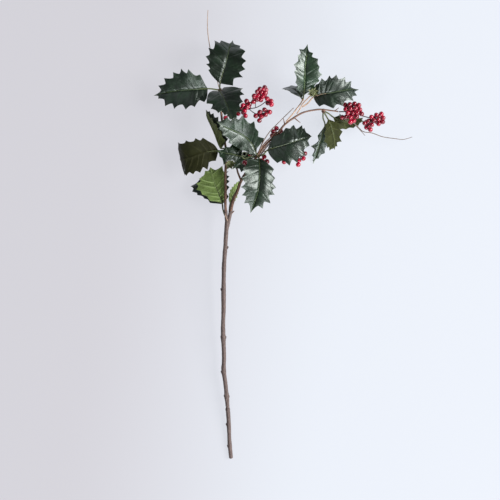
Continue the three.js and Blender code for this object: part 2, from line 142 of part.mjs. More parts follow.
// smooth curve through points: cubic Hermite with chord-length tangents
function curve(points, steps, radii) {
  const p = points.map(V);
  const h = [], d = [];
  for (let i = 0; i < p.length - 1; i++) {
    h.push(Math.max(1e-6, p[i].distanceTo(p[i + 1])));
    d.push(p[i + 1].clone().sub(p[i]).divideScalar(h[i]));
  }
  const m = [];
  for (let i = 1; i < p.length - 1; i++) m[i] = d[i].clone().multiplyScalar(h[i - 1]).addScaledVector(d[i - 1], h[i]).divideScalar(h[i] + h[i - 1]);
  if (p.length > 2) {
    m[0] = d[0].clone().multiplyScalar(1.5).addScaledVector(m[1], -0.5);
    m[p.length - 1] = d[p.length - 2].clone().multiplyScalar(1.5).addScaledVector(m[p.length - 2], -0.5);
  } else {
    m[0] = d[0].clone();
    m[1] = d[0].clone();
  }
  const out = [p[0].clone()], r = [radii ? radii[0] : 0];
  for (let i = 0; i < p.length - 1; i++) {
    for (let j = 1; j <= steps; j++) {
      const t = j / steps, t2 = t * t, t3 = t2 * t;
      out.push(new THREE.Vector3()
        .addScaledVector(p[i], 2 * t3 - 3 * t2 + 1).addScaledVector(m[i], (t3 - 2 * t2 + t) * h[i])
        .addScaledVector(p[i + 1], -2 * t3 + 3 * t2).addScaledVector(m[i + 1], (t3 - t2) * h[i]));
      r.push(radii ? radii[i] + (radii[i + 1] - radii[i]) * t : 0);
    }
  }
  return { points: out, radii: r };
}

// ---- solids ----
function solid(verts, tris) {
  const mesh = new wasm.Mesh({ numProp: 3, vertProperties: new Float32Array(verts), triVerts: new Uint32Array(tris) });
  return new wasm.Manifold(mesh);
}

function geometryOf(manifold) {
  const m = manifold.getMesh();
  const g = new THREE.BufferGeometry();
  const pos = new Float32Array(m.numVert * 3);
  for (let i = 0; i < m.numVert; i++) for (let k = 0; k < 3; k++) pos[3 * i + k] = m.vertProperties[i * m.numProp + k];
  g.setAttribute('position', new THREE.BufferAttribute(pos, 3));
  g.setIndex(new THREE.BufferAttribute(new Uint32Array(m.triVerts), 1));
  g.computeVertexNormals();
  return g;
}

// closed round tube along points [x, y, z, radius], capped flat at both ends
function tube(rows, sides, steps) {
  const c = curve(rows, steps, rows.map((q) => q[3]));
  const n = c.points.length, verts = [], tris = [];
  let side = null;
  for (let i = 0; i < n; i++) {
    const t = c.points[Math.min(n - 1, i + 1)].clone().sub(c.points[Math.max(0, i - 1)]).normalize();
    if (!side) side = new THREE.Vector3(0, 0, 1).addScaledVector(t, -t.z).normalize();
    side = side.clone().addScaledVector(t, -side.dot(t)).normalize();
    const other = t.clone().cross(side);
    for (let k = 0; k < sides; k++) {
      const a = (2 * Math.PI * (k + 0.5)) / sides;
      const q = c.points[i].clone().addScaledVector(side, Math.cos(a) * c.radii[i]).addScaledVector(other, Math.sin(a) * c.radii[i]);
      verts.push(q.x, q.y, q.z);
    }
  }
  for (let i = 0; i < n - 1; i++) for (let k = 0; k < sides; k++) {
    const a = i * sides + k, b = i * sides + ((k + 1) % sides), e = a + sides, f = b + sides;
    tris.push(a, b, f, a, f, e);
  }
  for (let k = 1; k < sides - 1; k++) {
    tris.push(0, k + 1, k);
    tris.push((n - 1) * sides, (n - 1) * sides + k, (n - 1) * sides + k + 1);
  }
  return solid(verts, tris);
}

// closed faceted ball, stretched along z when asked
function ball(centre, radius, around = 6, rings = 4, squash = 1) {
  const verts = [centre[0], centre[1], centre[2] + radius * squash], tris = [];
  for (let i = 1; i < rings; i++) for (let k = 0; k < around; k++) {
    const a = (Math.PI * i) / rings, b = (2 * Math.PI * (k + 0.5 * (i % 2))) / around;
    verts.push(centre[0] + radius * Math.sin(a) * Math.cos(b), centre[1] + radius * Math.sin(a) * Math.sin(b), centre[2] + radius * squash * Math.cos(a));
  }
  verts.push(centre[0], centre[1], centre[2] - radius * squash);
  const last = verts.length / 3 - 1;
  for (let k = 0; k < around; k++) {
    const k2 = (k + 1) % around;
    tris.push(0, 1 + k, 1 + k2);
    tris.push(last, 1 + (rings - 2) * around + k2, 1 + (rings - 2) * around + k);
    for (let i = 0; i < rings - 2; i++) {
      const a = 1 + i * around + k, b = 1 + i * around + k2, e = a + around, f = b + around;
      if (i % 2 === 0) tris.push(a, e, b, b, e, f);
      else tris.push(a, e, f, a, f, b);
    }
  }
  return solid(verts, tris);
}

const joined = (list) => list.reduce((a, b) => a.add(b));

// ---- a leaf blade: a bent surface over flat coordinates (s along the midrib, v across) ----
const table = (tab, t) => {
  const u = Math.min(1, Math.max(0, t)) * (tab.length - 1);
  const i = Math.min(tab.length - 2, Math.floor(u));
  return tab[i] + (tab[i + 1] - tab[i]) * (u - i);
};

class Blade {
  constructor(leaf) {
    this.leaf = leaf;
    this.c = curve(leaf.mid, 12).points;
    this.s = [0];
    for (let i = 1; i < this.c.length; i++) this.s.push(this.s[i - 1] + this.c[i].distanceTo(this.c[i - 1]));
    this.length = this.s[this.s.length - 1];
    const n = this.c.length;
    this.t = this.c.map((q, i) => this.c[Math.min(n - 1, i + 1)].clone().sub(this.c[Math.max(0, i - 1)]).normalize());
    let up = V(leaf.up);
    this.n = this.t.map((t) => {
      up = up.clone().addScaledVector(t, -up.dot(t)).normalize();
      return up;
    });
  }

  frame(s) {
    const q = Math.min(this.length, Math.max(0, s));
    let i = 0;
    while (i < this.s.length - 2 && this.s[i + 1] < q) i++;
    const f = (q - this.s[i]) / (this.s[i + 1] - this.s[i]);
    const c = this.c[i].clone().lerp(this.c[i + 1], f);
    const t = this.t[i].clone().lerp(this.t[i + 1], f).normalize();
    const n = this.n[i].clone().lerp(this.n[i + 1], f);
    n.addScaledVector(t, -n.dot(t)).normalize();
    const b = n.clone().cross(t);
    const a = rad(table(this.leaf.twist, s / this.length));
    const n2 = n.clone().multiplyScalar(Math.cos(a)).addScaledVector(b, Math.sin(a));
    const b2 = b.clone().multiplyScalar(Math.cos(a)).addScaledVector(n, -Math.sin(a));
    return { c: c.addScaledVector(t, s - q), t, n: n2, b: b2 };
  }

  at(s, v) {
    const { c, n, b } = this.frame(s);
    const side = v >= 0 ? 1 : -1, w = Math.abs(v), u = s / this.length, leaf = this.leaf;
    const f = rad(table(v >= 0 ? leaf.foldA : leaf.foldB, u));
    const k = rad(table(v >= 0 ? leaf.bendA : leaf.bendB, u));
    let x = 0, y = 0, w0 = w, kc = 0;
    if (leaf.curl && leaf.curl[0] === side && w > leaf.curl[1]) {
      w0 = leaf.curl[1];
      kc = rad(table(leaf.curl.slice(2), u));
    }
    for (const [f0, kk, ww] of [[f, k, w0], [f + k * w0, k + kc, w - w0]]) {
      if (ww <= 0) continue;
      if (Math.abs(kk) < 1e-5) {
        x += ww * Math.cos(f0);
        y += ww * Math.sin(f0);
      } else {
        x += (Math.sin(f0 + kk * ww) - Math.sin(f0)) / kk;
        y += (Math.cos(f0) - Math.cos(f0 + kk * ww)) / kk;
      }
    }
    const [amp, per, ph] = leaf.wave;
    y += amp * (w / 30) ** 2 * Math.sin(2 * Math.PI * (s / per + ph) + (side > 0 ? 0.9 : 0));
    return c.addScaledVector(b, side * x).addScaledVector(n, y);
  }
}

// the closed blade solid: a mid surface between midrib and outline, thickened both ways
function bladeSolid(leaf) {
  const blade = new Blade(leaf);
  const L = blade.length;
  const bent = leaf.curl || Math.max(...[...leaf.bendA, ...leaf.bendB].map(Math.abs)) > 0.5;
  const ROWS = bent ? 2 : 1;
  const mids = (chain) => {
    const n = chain.length, out = [];
    let last = 0;
    for (let i = 0; i < n; i++) {
      const want = Math.max(chain[i][0] - 0.62 * chain[i][1], ((i + 1) / (n + 1)) * L * 0.55);
      const room = L * 0.94 - (n - 1 - i) * 1.2;
      last = Math.min(room, Math.max(want, last + 1.2));
      out.push(last);
    }
    return out;
  };
  const verts = [], ids = new Map();
  const mid = [];        // mid-surface points
  const id = (key, s, v) => {
    if (!ids.has(key)) {
      ids.set(key, mid.length);
      mid.push(blade.at(s, v));
    }
    return ids.get(key);
  };
  const faces = [];      // triangles on the mid surface, counter-clockwise seen from +n
  const rim = [];        // outline vertices from base round side a to the tip and back along side b
  const edges = { a: [], b: [] };
  const rows = { a: mids(leaf.a), b: mids(leaf.b) };
  // both sides share midrib vertices, so the midrib is split at every root of either side
  const roots = [0, ...rows.a, ...rows.b, L].sort((p, q) => p - q).filter((q, i, all) => i === 0 || q - all[i - 1] > 0.25);
  const nearest = (q) => roots.reduce((best, r) => (Math.abs(r - q) < Math.abs(best - q) ? r : best), roots[0]);
  const base = id('m0', 0, 0), tip = id(`m${L}`, L, 0);
  for (const side of ['a', 'b']) {
    const sg = side === 'a' ? 1 : -1, chain = leaf[side];
    const cols = [{ root: 0, line: [base] }];
    chain.forEach(([s, w], i) => {
      const root = nearest(rows[side][i]);
      const line = [id(`m${root}`, root, 0)];
      for (let r = 1; r <= ROWS; r++) {
        const f = r / ROWS;
        line.push(id(`${side}${i}_${r}`, root + (s - root) * f, sg * w * f));
      }
      cols.push({ root, line });
      edges[side].push(line[ROWS]);
    });
    cols.push({ root: L, line: [tip] });
    const put = (p, q, r) => {
      if (p === q || q === r || p === r) return;
      faces.push(sg > 0 ? [p, q, r] : [p, r, q]);
    };
    for (let i = 0; i < cols.length - 1; i++) {
      const A = cols[i], B = cols[i + 1];
      // the strip of midrib vertices between the two roots fans to the first row of B, or of A at the tip
      const between = roots.filter((r) => r >= A.root - 1e-9 && r <= B.root + 1e-9).map((r) => id(`m${r}`, r, 0));
      if (B.line.length > 1) {
        for (let j = 0; j < between.length - 1; j++) put(between[j], between[j + 1], B.line[1]);
        if (A.line.length > 1) {
          put(A.line[0], B.line[1], A.line[1]);
          for (let r = 1; r < ROWS; r++) {
            put(A.line[r], B.line[r], B.line[r + 1]);
            put(A.line[r], B.line[r + 1], A.line[r + 1]);
          }
        } else {
          for (let r = 1; r < ROWS; r++) put(A.line[0], B.line[r], B.line[r + 1]);
        }
      } else {
        for (let j = 0; j < between.length - 1; j++) put(between[j], between[j + 1], A.line[1]);
        for (let r = 1; r < ROWS; r++) put(A.line[r], tip, A.line[r + 1]);
      }
    }
  }
  rim.push(base, ...edges.a, tip, ...edges.b.slice().reverse());
  // vertex normals of the mid surface
  const normals = mid.map(() => new THREE.Vector3());
  for (const [p, q, r] of faces) {
    const m = mid[q].clone().sub(mid[p]).cross(mid[r].clone().sub(mid[p]));
    for (const k of [p, q, r]) normals[k].add(m);
  }
  normals.forEach((q) => q.normalize());
  for (const sgn of [1, -1]) mid.forEach((q, i) => {
    const v = q.clone().addScaledVector(normals[i], (sgn * BLADE_THICKNESS) / 2);
    verts.push(v.x, v.y, v.z);
  });
  const n = mid.length, tris = [];
  for (const [p, q, r] of faces) tris.push(p, q, r, n + p, n + r, n + q);
  for (let i = 0; i < rim.length; i++) {
    const p = rim[i], q = rim[(i + 1) % rim.length];
    // side a runs away from the base, so its outer wall turns this way
    tris.push(p, q, n + q, p, n + q, n + p);
  }
  return { body: solid(verts, tris), blade };
}

function leafSolid(leaf) {
  const { body, blade } = bladeSolid(leaf);
  const hub = V(leaf.hub), first = leaf.via.length ? V(leaf.via[0]) : blade.c[0].clone();
  const dir = first.clone().sub(hub).normalize();
  const start = hub.clone().addScaledVector(dir, leaf.hub[3] + STALK_CLEARANCE);
  const rows = [[start.x, start.y, start.z, STALK_RADIUS]];
  for (const q of leaf.via) rows.push([...q, STALK_RADIUS]);
  for (const [u, r] of [[0.015, 1], [STALK_ON_BLADE * 0.5, 0.85], [STALK_ON_BLADE, 0.5]]) {
    const f = blade.frame(u * blade.length);
    const q = f.c.clone().addScaledVector(f.n, -0.55);
    rows.push([q.x, q.y, q.z, STALK_RADIUS * r]);
  }
  return body.add(tube(rows, TWIG_SIDES, 1));
}

// ---- assembly ----
const sprig = new THREE.Group();
sprig.position.set(ORIGIN_SHIFT[0], ORIGIN_SHIFT[1], ORIGIN_SHIFT[2]);

function add(name, manifold, color, roughness) {
  const mesh = new THREE.Mesh(geometryOf(manifold), new THREE.MeshStandardMaterial({ color, roughness, metalness: 0 }));
  mesh.name = name;
  sprig.add(mesh);
}

for (const [name, rows] of Object.entries(STEMS)) {
  const thick = name === 'main_stem' || name.startsWith('branch');
  const list = [tube(rows, thick ? STEM_SIDES : TWIG_SIDES, thick ? 1 : 2)];
  for (const spur of SPURS[name] || []) list.push(tube(spur, 5, 1));
  for (const hub of HUBS[name] || []) list.push(ball(hub, hub[3], 6, 4)); // taped joints, and the bud on its twig
  if (name === 'main_stem') for (const k of KNOTS) list.push(ball(k, k[4] * 1.08, 5, 3, k[3] / k[4]));
  const wood = name === 'main_stem' ? 0x6e5c58 : name.startsWith('branch') ? 0x9a7a68 : 0xb99682;
  add(name, joined(list), wood, 0.7);
}
for (const [name, leaf] of Object.entries(LEAVES)) add(name, leafSolid(leaf), 0x23382c, 0.4);
for (const [name, pick] of Object.entries(PICKS)) {
  const list = pick.wires.map((w) => tube(w, 5, 1));
  for (const b of pick.berries) {
    list.push(ball(b, BERRY_RADIUS * 1.08, 5, 3));
    list.push(tube([[b[3], b[4], b[5], BERRY_WIRE_RADIUS], [b[0], b[1], b[2], BERRY_WIRE_RADIUS]], 3, 1));
  }
  add(name, joined(list), 0xa01432, 0.25);
}

export default sprig;
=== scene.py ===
import math

import bpy
import numpy as np
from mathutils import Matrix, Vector


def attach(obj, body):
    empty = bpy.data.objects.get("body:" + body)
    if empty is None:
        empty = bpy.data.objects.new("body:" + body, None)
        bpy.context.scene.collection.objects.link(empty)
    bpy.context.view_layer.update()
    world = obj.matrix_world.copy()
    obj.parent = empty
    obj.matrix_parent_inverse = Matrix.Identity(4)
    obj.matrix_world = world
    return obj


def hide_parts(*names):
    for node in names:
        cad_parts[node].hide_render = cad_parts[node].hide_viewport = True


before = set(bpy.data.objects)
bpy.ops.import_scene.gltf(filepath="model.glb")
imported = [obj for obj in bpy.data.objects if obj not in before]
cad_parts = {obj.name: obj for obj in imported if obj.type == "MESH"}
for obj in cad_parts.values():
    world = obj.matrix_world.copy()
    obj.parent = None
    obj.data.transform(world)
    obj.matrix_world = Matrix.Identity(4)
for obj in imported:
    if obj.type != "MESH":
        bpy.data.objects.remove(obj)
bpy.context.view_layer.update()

SHIFT = np.array([-52.47, -24.87, -0.2])
BLADE = 0.7              # blade thickness, mm
STALK = 1.15             # leaf stalk radius, mm
BERRY = 3.95             # berry radius, mm
ROWS = 15                # rows of faces from midrib to margin
STEPS = 6                # outline samples from one traced point to the next

LEAVES = {
    "leaf_01": dict(hub=[-47.3,250.9,45.0,3.2], via=[], mid=[[-66.2,252.5,53.0],[-83.9,251.3,56.0],[-101.4,250.2,53.0],[-115.6,249.6,48.0],[-137.2,246.8,38.0],[-152.3,244.1,27.0]],
        up=[0,0,1], tw=[0,0,0], fa=[14,8,4], fb=[34,26,12], ka=[-0.3,-0.2,0], kb=[-0.4,-0.3,0], wave=[1.6,24,0.1], curl=0,
        a=[["e",3.6,15.9],["s",7.6,21.8],["n",14.1,18.0],["s",21.7,28.5],["n",27.1,25.1],["s",36.3,30.8],["n",40.4,22.7],["s",57.2,28.0],["n",59.8,19.1],["s",72.3,21.3],["n",73.4,10.3],["s",84.8,6.6],["n",84.0,3.5]],
        b=[["e",5.7,9.5],["s",11.9,24.2],["n",16.7,22.4],["s",25.5,33.6],["n",28.6,26.9],["s",36.7,35.2],["n",41.1,27.0],["s",49.1,30.1],["n",51.1,21.1],["s",65.5,23.1],["n",65.7,14.0],["s",78.2,13.4],["n",76.1,5.7]]),
    "leaf_02": dict(hub=[-47.3,250.9,45.0,3.2], via=[], mid=[[-47.0,260.0,58.0],[-43.1,275.5,59.0],[-37.9,291.5,59.0],[-34.7,305.0,55.0],[-31.8,320.0,40.0],[-27.4,332.0,24.0]],
        up=[0,0,1], tw=[0,0,0], fa=[2,4,16,26,14], fb=[12,10,8], ka=[0,-0.1,-0.8,-1.2,-0.8], kb=[-0.2,-0.2,0], wave=[1.8,22,0.4], curl=0,
        a=[["e",1.4,3.0],["n",9.3,15.6],["s",15.2,22.6],["n",17.1,20.3],["s",21.6,28.7],["n",23.9,24.5],["s",34.5,33.1],["n",38.4,28.1],["s",51.9,32.2],["n",50.6,24.6],["s",70.5,26.3],["n",65.9,17.5],["s",73.5,16.6],["n",75.9,2.4]],
        b=[["s",1.2,21.3],["n",12.3,19.8],["s",20.0,33.2],["n",25.6,24.9],["s",32.0,32.5],["n",35.3,25.6],["s",41.6,30.6],["n",47.7,22.0],["s",58.4,26.1],["n",69.3,16.0],["s",75.8,15.8],["n",78.3,5.5]]),
    "leaf_03": dict(hub=[-47.3,250.9,45.0,3.2], via=[], mid=[[-46.4,246.9,56.0],[-41.6,237.8,69.0],[-37.2,227.6,78.0],[-31.8,212.8,87.0],[-26.8,198.5,92.0]],
        up=[0.0,0.6,0.8], tw=[0,0,0], fa=[14,10,6], fb=[14,10,6], ka=[-0.2,-0.2,0], kb=[-0.2,-0.2,0], wave=[1.6,22,0.2], curl=0,
        a=[["e",-7.9,8.7],["e",-0.9,18.1],["n",5.3,25.9],["s",12.7,34.1],["n",18.9,28.0],["s",26.5,31.6],["n",25.9,24.8],["s",39.6,25.4],["n",41.1,19.0],["s",54.3,18.5],["n",53.5,10.3],["s",62.6,8.2],["n",60.8,4.0]],
        b=[["e",-4.9,10.6],["n",7.6,22.4],["s",27.1,30.4],["n",29.6,21.3],["s",38.0,26.8],["n",42.1,20.3],["s",47.8,17.9],["n",45.7,11.7],["s",53.3,9.3],["n",52.4,5.0],["s",62.8,3.7],["n",61.0,1.3]]),
    "leaf_04": dict(hub=[11.3,148.2,44.5,3.4], via=[], mid=[[10.3,149.4,51.0],[4.2,163.8,55.0],[-7.7,177.1,57.0],[-17.8,182.7,61.5],[-27.8,186.4,67.5],[-36.1,189.4,73.0],[-51.1,198.7,77.0]],
        up=[0,0,1], tw=[0,0,0], fa=[14,12,6], fb=[20,12,6], ka=[-0.3,-0.3,0], kb=[-0.4,-0.3,0], wave=[1.8,24,0.0], curl=0,
        a=[["e",2.1,4.5],["s",6.0,10.5],["n",13.9,14.6],["s",20.2,19.4],["n",35.9,21.2],["s",57.2,20.2],["n",57.3,14.9],["s",70.8,12.9],["n",71.5,8.1],["s",80.5,8.0],["n",81.1,2.4]],
        b=[["e",10.4,4.6],["s",16.5,21.6],["n",21.5,15.5],["s",26.1,20.9],["n",30.9,20.9],["s",37.2,28.3],["n",39.0,21.9],["s",56.3,28.5],["n",58.1,19.3],["s",67.8,22.7],["n",70.2,12.7],["s",78.8,15.2],["n",82.5,5.2]]),
    "leaf_05": dict(hub=[11.3,148.2,44.5,3.4], via=[[-0.8,146.3,43.5],[-9.1,143.6,44.0]], mid=[[-13.5,146.8,47.0],[-21.2,148.6,49.5],[-29.7,150.3,51.5],[-39.9,152.1,53.0],[-51.9,154.8,54.0]],
        up=[0,0,1], tw=[0,0,0], fa=[3,3,2], fb=[-8,-8,-4], ka=[0,0,0], kb=[0,0,0], wave=[1.2,22,0.3], curl=0,
        a=[["e",3.0,6.2],["s",7.2,10.4],["n",13.4,8.2],["s",16.8,11.1],["n",21.5,9.4],["s",25.7,19.0],["n",29.7,9.1],["s",34.2,7.3],["n",35.8,2.8]],
        b=[["e",0.5,9.3],["s",1.1,16.0],["n",7.1,12.6],["s",17.5,16.7],["n",21.1,10.2],["s",27.4,10.0],["n",30.1,4.7],["s",34.6,3.1],["n",36.8,1.3]]),
    "leaf_06": dict(hub=[-37.9,154.3,34.0,3.0], via=[], mid=[[-49.4,156.0,41.0],[-62.8,154.9,44.0],[-78.5,150.7,46.0],[-92.7,145.4,44.0],[-103.6,143.5,37.5],[-108.6,143.6,28.0],[-109.8,144.4,14.0],[-106.5,145.3,0.3]],
        up=[0,0,-1], tw=[0,0,0], fa=[-6,-4,0], fb=[-6,-4,0], ka=[0,0,0], kb=[0,0,0], wave=[1.0,24,0.3], curl=0,
        a=[["e",6.2,9.5],["e",13.7,16.0],["s",19.8,23.3],["n",23.8,20.2],["s",29.3,25.8],["n",32.2,22.2],["s",44.2,28.1],["n",49.8,24.5],["s",67,27],["n",70,19],["s",77,17],["n",79,10],["s",85,9],["n",86.5,4.5]],
        b=[["e",3.2,9.0],["s",5.7,15.7],["n",21.4,17.2],["s",26.3,27.3],["n",32.5,21.1],["s",40.7,27.5],["n",44.6,22.6],["s",48.4,26.6],["n",52.8,22.1],["s",59.2,26.7],["n",65.3,22.5],["s",67,26.5],["n",70,19],["s",77,16],["n",79,10],["s",85,9],["n",86.5,4.5]]),
    "leaf_07": dict(hub=[-38.0,59.0,35.6,4.3], via=[[-42.3,63.1,32.6],[-43.3,68.5,31.4]], mid=[[-43.6,73.6,30.5],[-48.0,86.2,30.5],[-54.4,101.8,29.5],[-59.8,117.8,26.0],[-63.0,131.3,21.0]],
        up=[0,0,-1], tw=[0,0,0], fa=[4,6,4], fb=[4,4,2], ka=[0,0,0], kb=[0,0,0], wave=[1.2,20,0.2], curl=0,
        a=[["e",2.8,5.6],["s",7.3,9.9],["n",15.6,9.0],["s",20.9,15.8],["n",26.5,13.6],["s",31.0,19.9],["n",36.8,17.1],["s",42.6,23.4],["n",49.7,19.2],["s",60.8,19.2],["n",55.7,7.0]],
        b=[["e",4.7,6.8],["s",11.2,18.0],["n",19.2,18.7],["s",26.0,25.1],["n",30.3,24.8],["s",34.9,31.2],["n",38.8,26.1],["s",43.8,27.6],["n",44.9,19.8],["s",48.6,21.5],["n",52.3,12.0],["s",58.4,9.4],["n",57.1,4.4]]),
    "leaf_08": dict(hub=[-32.5,54.6,35.0,4.1], via=[[-32.7,62.6,29.6]], mid=[[-32.0,73.1,27.0],[-28.5,84.1,21.0],[-23.2,97.3,15.0],[-17.8,110.2,10.5]],
        up=[0,0,-1], tw=[-48,-50,-52], fa=[6,6,4], fb=[6,6,4], ka=[0,0,0], kb=[0,0,0], wave=[0.8,18,0.2], curl=0,
        a=[["e",1.5,1.54],["s",5.5,7.48],["n",8.5,7.7],["s",14.0,12.76],["n",16.5,10.12],["s",21.0,14.08],["n",22.75,10.56],["s",27.25,12.32],["n",28.5,8.36],["s",34.0,8.8],["n",35.0,5.06],["s",39.0,4.62],["n",39.75,2.2]],
        b=[["e",1.5,1.05],["s",5.5,5.1],["n",8.5,5.25],["s",14.0,8.7],["n",16.5,6.8999999999999995],["s",21.0,9.6],["n",22.75,7.199999999999999],["s",27.25,8.4],["n",28.5,5.7],["s",34.0,6.0],["n",35.0,3.4499999999999997],["s",39.0,3.15],["n",39.75,1.5]]),
    "leaf_09": dict(hub=[11.3,148.2,44.5,3.4], via=[], mid=[[14.4,143.0,53.0],[15.4,123.5,64.0],[14.8,107.2,67.0],[12.7,92.3,68.0],[9.5,81.5,66.0],[0.8,57.8,57.0]],
        up=[0,0,1], tw=[0,0,0], fa=[30,30,20], fb=[30,26,16], ka=[-4.5,-4.3,-3.2], kb=[-0.15,-0.15,-0.1], wave=[1.6,24,0.3], curl=[1.0,12.0,3.6,3.4,2.5],
        a=[["e",9.0,11.2],["n",14.3,17.9],["s",19.3,23.6],["n",27.9,19.4],["s",32.4,25.5],["n",40.9,21.5],["s",45.6,28.9],["n",49.9,22.6],["s",55.1,28.3],["n",56.7,19.5],["s",67.7,25.2],["n",67.9,14.2],["s",78.7,15.9],["n",76.4,7.5]],
        b=[["e",3.6,8.3],["s",5.8,22.2],["n",15.9,21.7],["s",23.8,28.6],["n",30.6,24.1],["s",39.2,30.4],["n",47.1,22.8],["s",54.6,29.1],["n",59.2,19.9],["s",67.5,23.2],["n",67.7,15.9],["s",79.5,15.4],["n",77.5,9.0]]),
    "leaf_10": dict(hub=[11.3,148.2,44.5,3.7], via=[[19.4,148.9,49.5]], mid=[[27.6,157.6,50.0],[46.7,162.3,57.5],[62.7,167.2,60.0],[73.1,170.8,57.5],[83.6,174.6,50.5],[90.6,176.7,50.0],[96.4,177.7,53.5]],
        up=[0,0,1], tw=[0,0,0], fa=[-4,-14,-20], fb=[14,10,0], ka=[0,0,0], kb=[-0.4,-0.6,-0.4], wave=[1.6,24,0.2], curl=0,
        a=[["e",6.3,8.5],["s",14.1,17.7],["n",23.1,17.8],["s",40.3,25.7],["n",47.3,22.7],["s",60.3,26.9],["n",60.6,19.2],["s",67.5,22.5],["n",67.4,16.0],["s",68.7,17.0],["n",69.4,8.3]],
        b=[["e",1.1,7.1],["s",11.4,24.9],["n",19.9,23.0],["s",27.4,34.0],["n",33.9,26.0],["s",38.6,32.5],["n",44.5,25.3],["s",53.0,25.3],["n",55.0,17.8],["s",69.7,13.5],["n",69.1,5.0]]),
    "leaf_11": dict(hub=[83.0,235.9,47.5,2.0], via=[], mid=[[83.9,241.7,52.0],[85.0,252.6,60.0],[85.4,268.5,68.0],[85.9,287.4,71.0],[87.9,300.4,70.0],[89.7,320.8,63.0]],
        up=[0,0,1], tw=[0,0,0], fa=[26,28,24], fb=[24,22,12], ka=[-0.3,-0.3,0], kb=[-1.8,-1.6,-0.8], wave=[1.4,22,0.1], curl=0,
        a=[["e",5.5,5.1],["s",14.3,13.7],["n",18.5,11.6],["s",24.8,15.8],["n",30.9,14.0],["s",40.2,18.2],["n",43.6,15.0],["s",49.3,19.4],["n",54.2,12.8],["s",62.3,15.0],["n",65.4,10.6],["s",72.5,14.1],["n",73.9,6.6]],
        b=[["e",7.3,5.8],["s",13.4,16.9],["n",20.6,16.1],["s",26.9,23.5],["n",30.8,21.1],["s",35.8,27.4],["n",41.5,21.5],["s",48.9,22.8],["n",55.0,19.0],["s",62.3,18.3],["n",64.3,8.6],["s",69.6,9.8],["n",72.1,3.3]]),
    "leaf_12": dict(hub=[83.0,235.9,47.5,2.0], via=[], mid=[[80.7,238.9,46.0],[73.3,249.8,40.0],[64.7,254.8,32.0],[52.7,256.6,21.0]],
        up=[0.2,0.78,0.59], tw=[0,0,0], fa=[10,10,4], fb=[10,10,4], ka=[0,0,0], kb=[0,0,0], wave=[1.0,18,0.2], curl=0,
        a=[["e",4,6],["s",12,15],["n",16,14],["s",25,17],["n",28,13],["s",36,12],["n",38,8]],
        b=[["e",4,6],["s",12,14],["n",16,12],["s",25,15],["n",28,11.5],["s",36,11],["n",38,7]]),
    "leaf_13": dict(hub=[80.8,223.1,51.2,6.8], via=[[90.2,229.5,51.6]], mid=[[99.2,240.1,52.0],[112.3,242.9,60.0],[125.1,244.6,63.0],[137.2,247.3,61.0],[152.6,250.7,53.0],[171.5,252.6,38.0]],
        up=[0,0,1], tw=[0,0,0], fa=[26,24,14], fb=[14,12,6], ka=[-0.3,-0.3,0], kb=[-0.3,-0.3,0], wave=[1.8,22,0.3], curl=0,
        a=[["e",6.5,9.6],["s",11.4,17.8],["n",15.6,18.2],["s",20.6,25.9],["n",24.4,20.7],["s",31.9,28.3],["n",34.3,22.8],["s",40.7,27.1],["n",43.4,19.3],["s",54.7,20.7],["n",55.3,12.5],["s",65.4,13.4],["n",65.2,4.3]],
        b=[["e",2.1,7.7],["s",8.6,18.3],["n",17.3,16.5],["s",29.2,25.0],["n",34.6,19.5],["s",42.2,24.1],["n",47.7,17.3],["s",65.7,18.4],["n",65.0,12.2],["s",76.8,10.0],["n",70.6,5.7]]),
    "leaf_14": dict(hub=[115.3,218.5,43.4,3.1], via=[], mid=[[122.3,206.0,41.5],[126.6,196.4,43.5],[130.6,184.1,40.0],[132.9,173.7,32.0],[134.3,159.4,18.0]],
        up=[0,0,-1], tw=[0,0,0], fa=[-8,-8,-4], fb=[-8,-8,-4], ka=[0,0,0], kb=[0,0,0], wave=[1.2,20,0.3], curl=0,
        a=[["e",4.0,2.6],["s",7.9,8.8],["n",14.2,9.1],["s",20.1,13.9],["n",26.6,13.1],["s",34.8,17.1],["n",40.2,12.9],["s",50.4,12.6],["n",48.6,9.9],["s",57.5,8.6],["n",50.5,4.0]],
        b=[["e",6.0,5.2],["s",13.7,13.5],["n",19.2,11.3],["s",25.5,15.1],["n",33.0,9.1],["s",43.1,11.7],["n",43.1,4.4],["s",51.8,4.5],["n",50.6,1.9]]),
    "leaf_15": dict(hub=[115.3,218.5,43.4,3.1], via=[[115.0,207.9,38.0]], mid=[[118.7,198.1,32.5],[115.0,186.5,29.5],[111.6,172.7,23.0],[107.0,156.8,12.0],[101.1,138.2,0.7]],
        up=[0,0,1], tw=[0,0,0], fa=[10,10,6], fb=[-6,-8,-4], ka=[0,0,0], kb=[0,0,0], wave=[1.0,22,0.2], curl=0,
        a=[["e",3.9,3.7],["s",12.8,9.5],["n",22.1,8.6],["s",32.1,12.3],["n",36.6,10.9],["s",46.0,12.4],["n",50.7,7.6],["s",59.0,5.7],["n",61.0,1.8]],
        b=[["e",6.6,1.2],["s",21.0,6.6],["n",28.2,3.0],["s",42.7,12.2],["n",46.1,5.0],["s",57.5,6.2],["n",59.8,2.6],["s",66.0,2.6],["n",66.1,1.4]]),
    "leaf_16": dict(hub=[-37.9,154.3,34.0,3.0], via=[[-41.3,159.7,37.8]], mid=[[-45.3,159.9,39.8],[-48.8,166.5,39.5],[-55.1,182.1,37.5],[-62.1,197.5,34.0],[-67.7,210.3,28.5],[-69.5,222.4,21.0]],
        up=[0,0,1], tw=[0,0,0], fa=[138,124,112,108,104], fb=[25,26,22], ka=[0,0,0], kb=[0,0,0], wave=[1.0,20,0.2], curl=0,
        a=[["e",2,8],["s",8,17],["n",13,15.5],["s",22,20],["n",26,16],["s",34,20],["n",37.5,15],["s",45,17],["n",47.5,11.5],["s",56,12],["n",58,7],["s",64,6.5],["n",65.5,3.5]],
